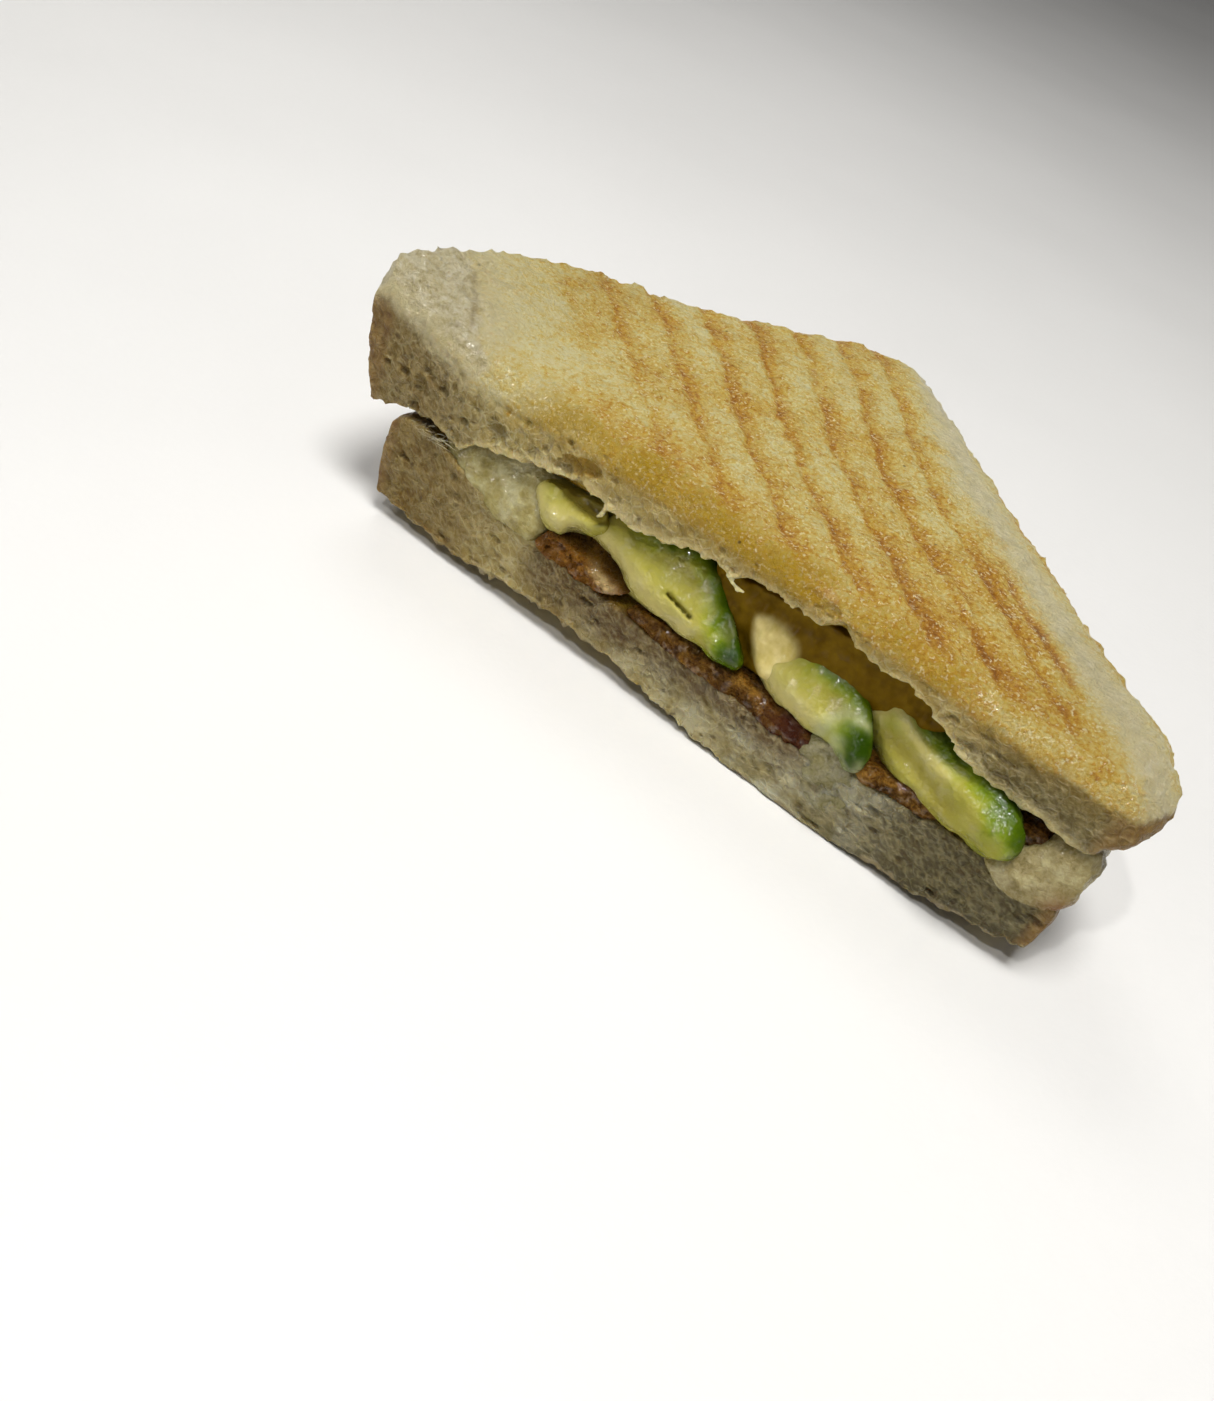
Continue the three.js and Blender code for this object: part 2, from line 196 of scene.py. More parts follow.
def meet_height(x):
    return MEET_HEIGHT + MEET_RISE * smoothstep(x, 0, MEET_RISE_END)


def toast_height(x, y):
    swell = unit((LEFT_SWELL_START - x) / LEFT_SWELL_LENGTH) ** LEFT_SWELL_POWER
    near = np.maximum(y, 0)
    return (
        TOAST_HEIGHT
        + LEFT_SWELL * swell * np.exp(-near / LEFT_SWELL_DEPTH)
        - FRONT_DROP * np.exp(-near / FRONT_DROP_LENGTH)
    )


def ceiling_height(x, y):
    pinched = meet_height(x) + GAP
    opened = np.maximum(smooth_profile(UPPER_UNDERSIDE, x), pinched)
    return lerp(pinched, opened, smoothstep(upper_distance(x, y), PINCH_START, PINCH_END))


def floor_height(x, y):
    gape = RIGHT_GAPE * smoothstep(x, *RIGHT_GAPE_ALONG) * fade(y, *RIGHT_GAPE_DEPTH)
    pinched = meet_height(x) - GAP - gape
    opened = np.minimum(smooth_profile(LOWER_TOP, x), pinched)
    return lerp(pinched, opened, smoothstep(lower_distance(x, y), PINCH_START, PINCH_END))


def upper_edge(x):
    return np.interp(x, *zip(*UPPER_EDGE))


def lower_edge(x):
    return np.interp(x, *zip(*LOWER_EDGE))


def board_height(x, y):
    return smooth_profile(LOWER_CURL, x) * fade(y, 0, CURL_LENGTH)


# ---------------------------------------------------------------- grids, noise and meshes

FOAM_TABLE = 97
CELL_SIZE = 1.7
CELL_DEPTH = 0.36
BUBBLE_MARGIN = 0.8
BUBBLE_LIP = 0.15


class Grid:
    """Points in space on three lists of coordinates, given as arrays that spread over one another."""

    def __init__(self, xs, ys, zs):
        self.axes = [np.asarray(axis, np.float32) for axis in (xs, ys, zs)]
        self.x, self.y, self.z = (self.lay(values, axis) for axis, values in enumerate(self.axes))
        self.low = np.array([axis[0] for axis in self.axes], float)
        self.high = np.array([axis[-1] for axis in self.axes], float)

    def lay(self, values, axis):
        """A list of values turned to run along one axis of the grid."""
        shape = [1, 1, 1]
        shape[axis] = -1
        return values.reshape(shape)


def spread(start, fine_end, end, fine, coarse, growth=1.12):
    """Coordinates that lie a fine step apart as far as fine_end, and from there ever farther apart."""
    values = list(np.arange(start, fine_end, fine))
    step = fine
    while values[-1] < end:
        step = min(step * growth, coarse)
        values.append(values[-1] + step)
    return values


class Noise:
    """Smooth random values from -1 to 1 with blobs of a given size in millimetres."""

    def __init__(self, grid, size, seed):
        self.size = np.broadcast_to(np.array(size, float), 3)
        self.low = grid.low - self.size
        count = np.ceil((grid.high - grid.low) / self.size).astype(int) + 4
        self.values = np.random.default_rng(seed).uniform(-1, 1, count).astype(np.float32)

    def split(self, values, axis):
        place = (np.asarray(values, float) - self.low[axis]) / self.size[axis]
        place = np.clip(place, 0, self.values.shape[axis] - 1.001)
        whole = np.floor(place).astype(int)
        t = place - whole
        return whole, (t * t * (3 - 2 * t)).astype(np.float32)

    def over(self, grid):
        out = self.values
        for axis, values in enumerate(grid.axes):
            whole, t = self.split(values, axis)
            t = grid.lay(t, axis)
            out = np.take(out, whole, axis=axis) * (1 - t) + np.take(out, whole + 1, axis=axis) * t
        return out

    def at(self, points):
        parts = [self.split(points[:, axis], axis) for axis in range(3)]
        total = 0
        for corner in np.ndindex(2, 2, 2):
            weight = 1
            where = []
            for (whole, t), side in zip(parts, corner):
                weight = weight * (t if side else 1 - t)
                where.append(whole + side)
            total = total + weight * self.values[tuple(where)]
        return total


def octaves_of(grid, size, seed, octaves, gain):
    """Noise of one size with finer and fainter noise over it, as a list of (strength, Noise)."""
    size = np.broadcast_to(np.array(size, float), 3)
    return [(gain**i, Noise(grid, size / 2**i, seed + i)) for i in range(octaves)]


def noise_over(grid, size, seed, octaves=3, gain=0.5):
    layers = octaves_of(grid, size, seed, octaves, gain)
    return sum(strength * noise.over(grid) for strength, noise in layers)


def noise_at(points, grid, size, seed, octaves=3, gain=0.5):
    layers = octaves_of(grid, size, seed, octaves, gain)
    return sum(strength * noise.at(points) for strength, noise in layers)


def foam(x, z, size, seed):
    """Irregular bread cells over the cut, as (distance from the cell's walls, the cell's own number)."""
    table = np.random.default_rng(seed).uniform(0, 1, (FOAM_TABLE, FOAM_TABLE, 3)).astype(np.float32)
    u, w = np.broadcast_arrays(x / size[0], z / size[1])
    first = np.full(u.shape, 9.0)
    second = first.copy()
    own = np.zeros(u.shape)
    for du, dw in np.ndindex(3, 3):
        column, row = np.floor(u).astype(int) + du - 1, np.floor(w).astype(int) + dw - 1
        cell = table[column % FOAM_TABLE, row % FOAM_TABLE]
        away = np.hypot(column + cell[..., 0] - u, row + cell[..., 1] - w)
        nearer = away < first
        second = np.where(nearer, first, np.minimum(second, away))
        own = np.where(nearer, cell[..., 2], own)
        first = np.where(nearer, away, first)
    return second - first, own


def crumb_cells(x, z, seed, stretch):
    """The open cells of the crumb at the cut, as (depth, wall); stretch draws them out along x."""
    warped_x = x + 0.4 * np.sin(1.9 * z + 0.7 * x) + 0.25 * np.sin(3.7 * z - 1.3 * x)
    warped_z = z + 0.3 * np.sin(1.6 * x - 0.9 * z) + 0.2 * np.sin(4.1 * x)
    depth, walls = 0, 0
    for size, share in ((CELL_SIZE, 1.0), (CELL_SIZE * 0.5, 0.45)):
        wall, own = foam(warped_x, warped_z, (size * stretch, size / math.sqrt(stretch)), seed)
        depth = depth + share * own**2 * smoothstep(wall, 0.05, 0.6)
        walls = walls + share * bell(wall, 0, 0.16)
    return depth, walls


def carve(grid, field, middle, radii):
    """Hollows an ellipsoidal bubble out of the field."""
    part, away = [], 0
    for axis, values in enumerate(grid.axes):
        reach = radii[axis] + BUBBLE_MARGIN
        low, high = np.searchsorted(values, [middle[axis] - reach, middle[axis] + reach])
        if high - low < 2:
            return
        part.append(slice(low, high))
        away = away + grid.lay((values[low:high] - middle[axis]) / radii[axis], axis) ** 2
    part = tuple(part)
    field[part] = soft_min(field[part], (np.sqrt(away) - 1) * min(radii), BUBBLE_LIP)


def net_points(grid, field, cells):
    """One point in each cell, amid the places where the surface crosses the cell's edges."""
    total = np.zeros((len(cells), 3))
    hits = np.zeros(len(cells))
    for axis in range(3):
        for side in np.ndindex(2, 2):
            offset = np.insert(np.array(side), axis, 0)
            step = np.eye(3, dtype=int)[axis]
            start = field[tuple((cells + offset).T)]
            end = field[tuple((cells + offset + step).T)]
            crossed = (start > 0) != (end > 0)
            share = np.where(crossed, start / np.where(crossed, start - end, 1), 0)
            place = offset + share[:, None] * step
            total[crossed] += place[crossed]
            hits[crossed] += 1
    local = total / hits[:, None]
    points = np.empty_like(local)
    for axis, values in enumerate(grid.axes):
        low = values[cells[:, axis]]
        points[:, axis] = low + (values[cells[:, axis] + 1] - low) * local[:, axis]
    return points


def net_faces(inside, index):
    """A face across each step of the grid that the surface crosses, turned to look outward."""
    faces = []
    for axis in range(3):
        second, third = (axis + 1) % 3, (axis + 2) % 3
        here = np.take(inside, range(inside.shape[axis] - 1), axis)
        there = np.take(inside, range(1, inside.shape[axis]), axis)
        nodes = np.argwhere(here != there)
        keep = (nodes[:, second] > 0) & (nodes[:, third] > 0)
        keep &= (nodes[:, second] < inside.shape[second] - 1) & (nodes[:, third] < inside.shape[third] - 1)
        nodes = nodes[keep]
        quad = []
        for back_second, back_third in ((1, 1), (0, 1), (0, 0), (1, 0)):
            cell = nodes.copy()
            cell[:, second] -= back_second
            cell[:, third] -= back_third
            quad.append(index[tuple(cell.T)])
        quad = np.stack(quad, 1)
        outward = here[tuple(nodes.T)]
        quad[~outward] = quad[~outward][:, ::-1]
        faces.append(quad)
    return np.concatenate(faces)


def surface_net(grid, field):
    """The points and the four-sided faces of the surface where the field is zero."""
    inside = field > 0
    shape = [n - 1 for n in field.shape]
    corners_inside = np.zeros(shape, np.uint8)
    for corner in np.ndindex(2, 2, 2):
        corners_inside += inside[tuple(slice(first, first + n) for first, n in zip(corner, shape))]
    cells = np.argwhere((corners_inside > 0) & (corners_inside < 8))
    index = np.full(shape, -1, np.int32)
    index[tuple(cells.T)] = np.arange(len(cells))
    return largest_part(net_points(grid, field, cells), net_faces(inside, index))


def largest_part(points, faces):
    """Drops every loose scrap, so that only the largest joined surface is left."""
    label = np.arange(len(points))
    while True:
        least = label[faces].min(1)
        fresh = label.copy()
        np.minimum.at(fresh, faces.ravel(), np.repeat(least, 4))
        fresh = fresh[fresh]
        if np.array_equal(fresh, label):
            break
        label = fresh
    names, counts = np.unique(label, return_counts=True)
    kept = label == names[counts.argmax()]
    faces = faces[kept[faces[:, 0]]]
    renumber = np.cumsum(kept) - 1
    return points[kept], renumber[faces]


def make_piece(name, points, faces, attributes, material, node):
    """A smooth mesh that stands for a solid of the frame, with a number per point for each attribute."""
    mesh = bpy.data.meshes.new(name)
    mesh.vertices.add(len(points))
    mesh.vertices.foreach_set("co", ((points + ORIGIN) * MM).astype(np.float32).ravel())
    mesh.loops.add(faces.size)
    mesh.loops.foreach_set("vertex_index", faces.astype(np.int32).ravel())
    mesh.polygons.add(len(faces))
    mesh.polygons.foreach_set("loop_start", np.arange(0, faces.size, 4, dtype=np.int32))
    mesh.polygons.foreach_set("use_smooth", np.ones(len(faces), bool))
    mesh.update(calc_edges=True)
    mesh.validate()
    for label, values in attributes.items():
        made = mesh.attributes.new(label, "FLOAT", "POINT")
        made.data.foreach_set("value", np.asarray(values, np.float32))
    piece = bpy.data.objects.new(name, mesh)
    bpy.context.scene.collection.objects.link(piece)
    mesh.materials.append(material)
    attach(piece, "root")
    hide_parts(node)
    return piece


# ---------------------------------------------------------------- material helpers


def srgb(red, green, blue):
    """A colour read off a screen, as the linear colour that a shader takes."""
    out = []
    for value in (red, green, blue):
        c = value / 255
        out.append(c / 12.92 if c <= 0.04045 else ((c + 0.055) / 1.055) ** 2.4)
    return (*out, 1.0)


class Value:
    """A number that a node works out, for sums with plain numbers and with other values."""

    def __init__(self, shader, socket):
        self.shader, self.socket = shader, socket

    def __add__(self, other):
        return self.shader.math("ADD", self, other)

    def __sub__(self, other):
        return self.shader.math("SUBTRACT", self, other)

    def __rsub__(self, other):
        return self.shader.math("SUBTRACT", other, self)

    def __mul__(self, other):
        return self.shader.math("MULTIPLY", self, other)


class Shader:
    """A node tree with one Principled shader, and short calls for the nodes that feed it.

    Sizes are in millimetres, and a colour is either a socket or three numbers read off a screen.
    """

    def __init__(self, name):
        self.material = bpy.data.materials.new(name)
        self.material.use_nodes = True
        self.tree = self.material.node_tree
        self.skin = self.tree.nodes["Principled BSDF"]
        self.place = self.node("ShaderNodeTexCoord").outputs["Object"]

    def node(self, kind, **settings):
        made = self.tree.nodes.new(kind)
        for name, value in settings.items():
            setattr(made, name, value)
        return made

    def put(self, socket, value):
        if isinstance(value, Value):
            value = value.socket
        if isinstance(value, bpy.types.NodeSocket):
            self.tree.links.new(value, socket)
        else:
            socket.default_value = value

    def put_colour(self, socket, colour):
        self.put(socket, srgb(*colour) if isinstance(colour, tuple) else colour)

    def attribute(self, name):
        return Value(self, self.node("ShaderNodeAttribute", attribute_name=name).outputs["Fac"])

    def attributes(self, *names):
        return [self.attribute(name) for name in names]

    def texture(self, kind, size, place=None, **settings):
        node = self.node(kind, **settings)
        self.put(node.inputs["Vector"], place or self.place)
        node.inputs["Scale"].default_value = 1 / (size * MM)
        return node

    def noise(self, size, detail=2.0, roughness=0.5, distortion=0.0, place=None):
        node = self.texture("ShaderNodeTexNoise", size, place)
        for name, value in (("Detail", detail), ("Roughness", roughness), ("Distortion", distortion)):
            node.inputs[name].default_value = value
        return Value(self, node.outputs["Fac"])

    def cells(self, size, feature="F1", place=None):
        node = self.texture("ShaderNodeTexVoronoi", size, place, feature=feature)
        return Value(self, node.outputs["Distance"])

    def stretch(self, scale):
        """The place of each point, drawn together along an axis, where a pattern then comes out longer."""
        node = self.node("ShaderNodeMapping")
        self.put(node.inputs["Vector"], self.place)
        node.inputs["Scale"].default_value = scale
        return node.outputs["Vector"]

    def warp(self, size, amount, place=None):
        """The place of each point, pushed about by smooth noise by up to amount."""
        push = self.node("ShaderNodeVectorMath", operation="MULTIPLY_ADD")
        self.put(push.inputs[0], self.texture("ShaderNodeTexNoise", size, place).outputs["Color"])
        push.inputs[1].default_value = (2 * amount * MM,) * 3
        self.put(push.inputs[2], place or self.place)
        return push.outputs["Vector"]

    def math(self, operation, a, b=0.0, clamp=False):
        node = self.node("ShaderNodeMath", operation=operation, use_clamp=clamp)
        self.put(node.inputs[0], a)
        self.put(node.inputs[1], b)
        return Value(self, node.outputs[0])

    def larger(self, a, b):
        return self.math("MAXIMUM", a, b)

    def clamp(self, value):
        """The value, kept from 0 to 1."""
        return self.math("ADD", value, clamp=True)

    def fit(self, value, low, high, out_low=0.0, out_high=1.0):
        """A smooth step from out_low to out_high while the value goes from low to high."""
        node = self.node("ShaderNodeMapRange", interpolation_type="SMOOTHSTEP")
        for socket, setting in zip(node.inputs, (value, low, high, out_low, out_high)):
            self.put(socket, setting)
        return Value(self, node.outputs["Result"])

    def ramp(self, value, *stops):
        """A colour that runs through the stops, each given as (value, colour)."""
        node = self.node("ShaderNodeValToRGB")
        self.put(node.inputs["Fac"], value)
        elements = node.color_ramp.elements
        for element, (position, colour) in zip(elements, (stops[0], stops[-1])):
            element.position, element.color = position, srgb(*colour)
        for position, colour in stops[1:-1]:
            elements.new(position).color = srgb(*colour)
        return node.outputs["Color"]

    def mix(self, share, a, b):
        node = self.node("ShaderNodeMix", data_type="RGBA")
        self.put(node.inputs[0], share)
        self.put_colour(node.inputs[6], a)
        self.put_colour(node.inputs[7], b)
        return node.outputs[2]

    def tint(self, colour, *coats):
        """The colour with others laid over it in turn, each given as (share, colour)."""
        for share, over in coats:
            colour = self.mix(share, colour, over)
        return colour

    def bump(self, height, depth):
        """Bumps that stand depth millimetres high where the height runs from 0 to 1."""
        node = self.node("ShaderNodeBump")
        node.inputs["Distance"].default_value = depth * MM
        node.inputs["Strength"].default_value = 1.0
        self.put(node.inputs["Height"], height)
        return node.outputs["Normal"]

    def glisten(self, amount, size, depth):
        """A wet film whose small bumps break the lights up into glints."""
        self.put(self.skin.inputs["Coat Weight"], amount)
        self.skin.inputs["Coat Roughness"].default_value = FILM_ROUGHNESS
        self.put(self.skin.inputs["Coat Normal"], self.bump(self.noise(size, 2, 0.6), depth))

    def finish(self, colour, roughness, normal, **settings):
        self.put(self.skin.inputs["Base Color"], colour)
        self.put(self.skin.inputs["Roughness"], roughness)
        self.put(self.skin.inputs["Normal"], normal)
        for name, value in settings.items():
            self.put(self.skin.inputs[name.replace("_", " ")], value)
        return self.material


# ---------------------------------------------------------------- grill marks

GRILL_FIRST = 3.0
GRILL_PITCH = 7.9
GRILL_STRENGTH = [0.55, 0.1, 1, 1, 1, 1, 1, 0.85, 0.7, 0.2, 0, 0, 0, 0]
GRILL_BEND = 7.5
GRILL_BEND_ALONG = (5, 60)
GRILL_STRAIGHT_FROM, GRILL_BEND_ACROSS = 68, 45
CORE_OFFSET, CORE_WIDTH = -0.4, 0.55
HALO_OFFSET, HALO_WIDTH = -1.7, 1.5
RIM_MARK_ACROSS, RIM_MARK_WIDTH = 14, 0.9
RIM_MARK_START, RIM_MARK_END = (74, 80), (98, 104)
WHITE_CORNER = 91.4
PALE_BAND = (8.6, 3.4)


def grill_place(x, y):
    """How far a point lies inside the long crust, and how far along it, with the grill's bend taken out."""
    (x0, y0), (x1, y1) = UPPER_CORNERS[2], UPPER_CORNERS[3]
    length = math.hypot(x1 - x0, y1 - y0)
    across = ((x - x0) * (y1 - y0) - (y - y0) * (x1 - x0)) / length
    along = ((x - x0) * (x1 - x0) + (y - y0) * (y1 - y0)) / length
    share = unit((GRILL_STRAIGHT_FROM - across) / GRILL_BEND_ACROSS)
    bend = GRILL_BEND * share * fade(along, *GRILL_BEND_ALONG)
    return across + bend, along


def grill_lines(x, y):
    """The dark core and the golden halo of the grill lines, each from 0 to 1."""
    across, along = grill_place(x, y)
    number = np.round((across - GRILL_FIRST) / GRILL_PITCH).astype(int)
    off = across - GRILL_FIRST - number * GRILL_PITCH
    off = off + 0.3 * np.sin(0.33 * along + 2.1 * number) + 0.18 * np.sin(0.95 * along + number)
    strength = np.array(GRILL_STRENGTH)[np.clip(number, 0, len(GRILL_STRENGTH) - 1)]
    strength = strength * smoothstep(y, 1.5, 7)
    core = strength * bell(off, CORE_OFFSET, CORE_WIDTH)
    halo = strength * bell(off, HALO_OFFSET, HALO_WIDTH)
    rim_mark = bell(across, RIM_MARK_ACROSS, RIM_MARK_WIDTH)
    rim_mark = rim_mark * smoothstep(along, *RIM_MARK_START) * fade(along, *RIM_MARK_END)
    return np.maximum(core, rim_mark), np.maximum(halo, 0.8 * rim_mark)


# ---------------------------------------------------------------- the upper slice

UPPER_STEP = 0.4
LEFT_FLARE = 0.19
LEFT_FLARE_START = 18
UPPER_REACH = -62.2
LEFT_TOP_RIM, RIGHT_BOTTOM_RIM, RIGHT_FRONT_RIM = 1.6, 8.5, 6.5
CUT_RIM = 0.7
CRACK_LINE = [(-54.8, 15.0), (-52.2, 11.6), (-50.6, 10.6), (-47.6, 6.6), (-45.6, 4.2)]
CUT_LAYER = 3.5
BLISTER = [(34.2, 20.2), (37.0, 17.8), (38.6, 16.4), (40.3, 14.6)]
BLISTER_WIDTH, BLISTER_HEIGHT = 1.0, 0.8
FOLD = [(34.4, 16.6), (36.4, 16.2), (38.4, 15.0)]
FOLD_DEPTH = 0.5
UPPER_HOLES = [((-19.0, 0.2, 30.0), (2.3, 1.1, 1.5)), ((-16.4, 0.2, 31.0), (2.3, 1.1, 1.3))]
# Wet threads and drips of crumb under the slice: start, end and thickness.
UPPER_STRANDS = [
    ((-11.4, 0.0, 27.6), (-11.7, -0.2, 25.8), 0.4),
    ((-11.7, -0.2, 25.8), (-12.3, -0.2, 25.0), 0.3),
    ((10.2, 0.1, 29.2), (12.6, -0.5, 28.6), 0.3),
    ((12.6, -0.5, 28.6), (13.8, -0.6, 29.0), 0.26),
]
FIBRE_COUNT = 26
FIBRE_STEPS = 7
PIT_DEPTH = 1.6


def pit_depth(y, skin):
    """How deep a point of the crumb lies in a pore, from 0 at the cut to 1, which sets the painted shade in
    the pores.
    """
    return unit(y * (1 - skin) / PIT_DEPTH)


def scatter_pores(rng, count, along, heights, radius, flat=1.0):
    """Random bubbles at the cut, as (middle, radii); heights gives the lowest and highest z at x."""
    pores = []
    for _ in range(count):
        x = rng.uniform(*along)
        low, high = heights(x)
        size = radius * math.exp(rng.normal(0, 0.38))
        middle = (x, rng.uniform(-0.8, 0.1) * size, rng.uniform(low, high))
        radii = (
            size * rng.uniform(0.8, 1.5) * flat,
            size * rng.uniform(0.8, 1.4),
            size * rng.uniform(0.6, 1.05) / math.sqrt(flat),
        )
        pores.append((middle, radii))
    return pores


def upper_pores():
    rng = np.random.default_rng(11)
    edge = upper_edge
    pores = scatter_pores(rng, 40, (-54, -20), lambda x: (edge(x) + 0.6, edge(x) + 10), 0.85)
    pores += scatter_pores(rng, 110, (-57, -8), lambda x: (edge(x) + 0.4, 36), 0.46)
    pores += scatter_pores(rng, 26, (-14, 42), lambda x: (edge(x) + 0.5, edge(x) + 4), 0.75)
    pores += scatter_pores(rng, 60, (-14, 55), lambda x: (edge(x) + 0.3, 33.4), 0.4)
    pores += scatter_pores(rng, 60, (42, 76), lambda x: (edge(x) + 0.4, 33), 0.4, flat=2.2)
    return pores + UPPER_HOLES


def left_fibres():
    """Fine threads of crumb pulled across the pinched end, as points and four-sided faces."""
    rng = np.random.default_rng(29)
    points, faces = [], []
    ring = np.array([(1, 0), (0, 1), (-1, 0), (0, -1)], float)
    for _ in range(FIBRE_COUNT):
        x = rng.uniform(-48.5, -41.5)
        start = np.array([x, rng.uniform(-0.9, -0.3), rng.uniform(18.8, 20.4)])
        run = np.array([rng.uniform(1.5, 4), rng.uniform(-0.2, 0.5), rng.uniform(-0.8, 1.8)])
        bend = rng.normal(0, 0.35, 3)
        radius = rng.uniform(0.035, 0.08)
        first = len(points)
        for t in np.linspace(0, 1, FIBRE_STEPS):
            middle = start + run * t + bend * math.sin(math.pi * t)
            for across, up in ring * radius * (0.3 + math.sin(math.pi * t)):
                points.append(middle + (0.3 * up, across, up))
        for step in range(FIBRE_STEPS - 1):
            for side in range(4):
                a, b = first + 4 * step + side, first + 4 * step + (side + 1) % 4
                faces.append((a, b, b + 4, a + 4))
        last = first + 4 * (FIBRE_STEPS - 1)
        faces.append((first + 3, first + 2, first + 1, first))
        faces.append((last, last + 1, last + 2, last + 3))
    return np.array(points), np.array(faces)


def capsule(grid, start, end, thickness):
    start, end = np.array(start), np.array(end)
    run = end - start
    dx, dy, dz = grid.x - start[0], grid.y - start[1], grid.z - start[2]
    t = unit((dx * run[0] + dy * run[1] + dz * run[2]) / (run @ run))
    return thickness - np.sqrt((dx - t * run[0]) ** 2 + (dy - t * run[1]) ** 2 + (dz - t * run[2]) ** 2)


def upper_cells(x, z):
    left, right = crumb_cells(x, z, 43, 1.15), crumb_cells(x, z, 47, 2.3)
    share = smoothstep(x, 34, 48)
    return [lerp(a, b, share) for a, b in zip(left, right)]


def toasted_face(grid, rough, fine):
    """The height of the toasted face: grill lines, a crack, a torn corner, a blister and a fold."""
    x, y = grid.x, grid.y
    core, halo = grill_lines(x, y)
    sag = 0.7 * fade(upper_distance(x, y), 0, 12) * smoothstep(y, 4, 25)
    crack = bell(line_distance(CRACK_LINE, x, y), 0, 0.45)
    top = toast_height(x, y) - sag - 0.32 * core - 0.2 * halo - 0.3 * crack
    torn = smoothstep(grill_place(x, y)[0], WHITE_CORNER - 7, WHITE_CORNER)
    top = top + torn * (0.35 * rough + 0.35 * fine)
    top = top + BLISTER_HEIGHT * bell(line_distance(BLISTER, x, y), 0, BLISTER_WIDTH)
    top = top - FOLD_DEPTH * bell(line_distance(FOLD, x, y), 0, 0.8)
    return top + 0.35 * noise_over(grid, 11, 21, 2) + 0.2 * rough + 0.18 * fine


def upper_field(grid):
    x, y, z = grid.x, grid.y, grid.z
    rough = noise_over(grid, 3.2, 31, 3, 0.6)
    fine = noise_over(grid, 1.3, 35, 2, 0.9)
    front = fade(y, 0.5, 5)
    left_end, right_end = smoothstep(-x, 34, 58), smoothstep(x, 58, 78)
    top = toasted_face(grid, rough, fine)
    edge = lerp(ceiling_height(x, y), upper_edge(x), front)
    under = edge + front * 0.5 * noise_over(grid, (1.9, 2.5, 2.0), 41, 3, 0.8)
    height = unit((z - under) / np.maximum(top - under, 1))
    side = upper_distance(x, y) + RIM_BULGE * np.sin(math.pi * height) + 0.32 * rough + 0.34 * fine
    side = side + LEFT_FLARE * left_end * np.maximum(z - LEFT_FLARE_START, 0)
    side = soft_min(side, x - UPPER_REACH + 0.2 * rough, 1.0)
    solid = round_min(side, top - z, lerp(UPPER_TOP_RIM, LEFT_TOP_RIM, left_end))
    lower_rim = lerp(UPPER_BOTTOM_RIM, RIGHT_BOTTOM_RIM, right_end)
    front_rim = np.maximum(CUT_RIM, RIGHT_FRONT_RIM * right_end)
    solid = round_min(solid, z - under, lerp(lower_rim, front_rim, front))
    dents = CELL_DEPTH * upper_cells(x, z)[0]
    cut = y - 0.16 * rough * smoothstep(top - z, 0, 2) - dents * smoothstep(top - z, 1.5, 6.0)
    crown_rim = 2.4 + 2.6 * smoothstep(-x, 14, 44)
    return round_min(solid, cut, lerp(CUT_RIM, crown_rim, smoothstep(z - top, -7, -1))).astype(np.float32)


def build_upper(material):
    grid = Grid(
        np.arange(-62.8, 86.5, UPPER_STEP),
        spread(-2.2, CUT_LAYER, 95.4, 0.36, 1.15),
        np.arange(17.6, 45.6, UPPER_STEP),
    )
    field = upper_field(grid)
    for start, end, thickness in UPPER_STRANDS:
        field = soft_max(field, capsule(grid, start, end, thickness), 0.5)
    for middle, radii in upper_pores():
        carve(grid, field, middle, radii)
    points, faces = surface_net(grid, field)
    fibre_points, fibre_faces = left_fibres()
    faces = np.concatenate([faces, fibre_faces + len(points)])
    fibre = np.repeat([0.0, 1.0], [len(points), len(fibre_points)])
    points = np.concatenate([points, fibre_points])
    looks = {"fibre": fibre, **toast_looks(grid, points), **crumb_looks(grid, points)}
    return make_piece("upper_slice", points, faces, looks, material, "bread_upper")


def patches_of(grid, points):
    return noise_at(points, grid, 9, 51)


def blotches_of(grid, points):
    return noise_at(points, grid, 3.5, 61)


def toast_looks(grid, points):
    """How brown, pale and buttery the toasted face is, with its grill lines."""
    x, y, _ = points.T
    patches, blotches = patches_of(grid, points), blotches_of(grid, points)
    across = grill_place(x, y)[0]
    core, halo = grill_lines(x, y)
    worn = np.clip(0.95 + 0.35 * noise_at(points, grid, 7, 71, 2), 0.65, 1)
    browned = 0.29 + 0.1 * patches + 0.08 * blotches
    browned = browned + 0.16 * np.exp(-(((x - 38) / 17) ** 2 + ((y - 14) / 13) ** 2))
    browned = browned - 0.16 * smoothstep(across, 68, 84) - 0.08 * smoothstep(x, 56, 70)
    browned = browned + 0.1 * fade(y, 6, 14) * smoothstep(x, -36, -24)
    band = bell(across + 1.2 * blotches, *PALE_BAND)
    browned = browned - 0.34 * band - 0.3 * bell(line_distance(BLISTER, x, y), 0, BLISTER_WIDTH)
    white = smoothstep(across + 1.5 * blotches, WHITE_CORNER - 1.2, WHITE_CORNER + 0.6)
    fading = smoothstep(across + 3 * blotches + 2 * patches, WHITE_CORNER - 11, WHITE_CORNER - 2)
    white = np.maximum(white, 0.5 * fading * fade(x, -44, -34))
    butter = fade(y + 1.5 * blotches, 0.5, 7.0) * smoothstep(x, -40, -24) * fade(x, 36, 58)
    return {
        "browned": unit(browned),
        "line": unit(core * worn),
        "halo": unit(halo * worn),
        "white": unit(np.maximum(white * smoothstep(y, -2, 2), 0.75 * band)),
        "butter": unit(butter * (0.85 + 0.6 * patches)),
    }


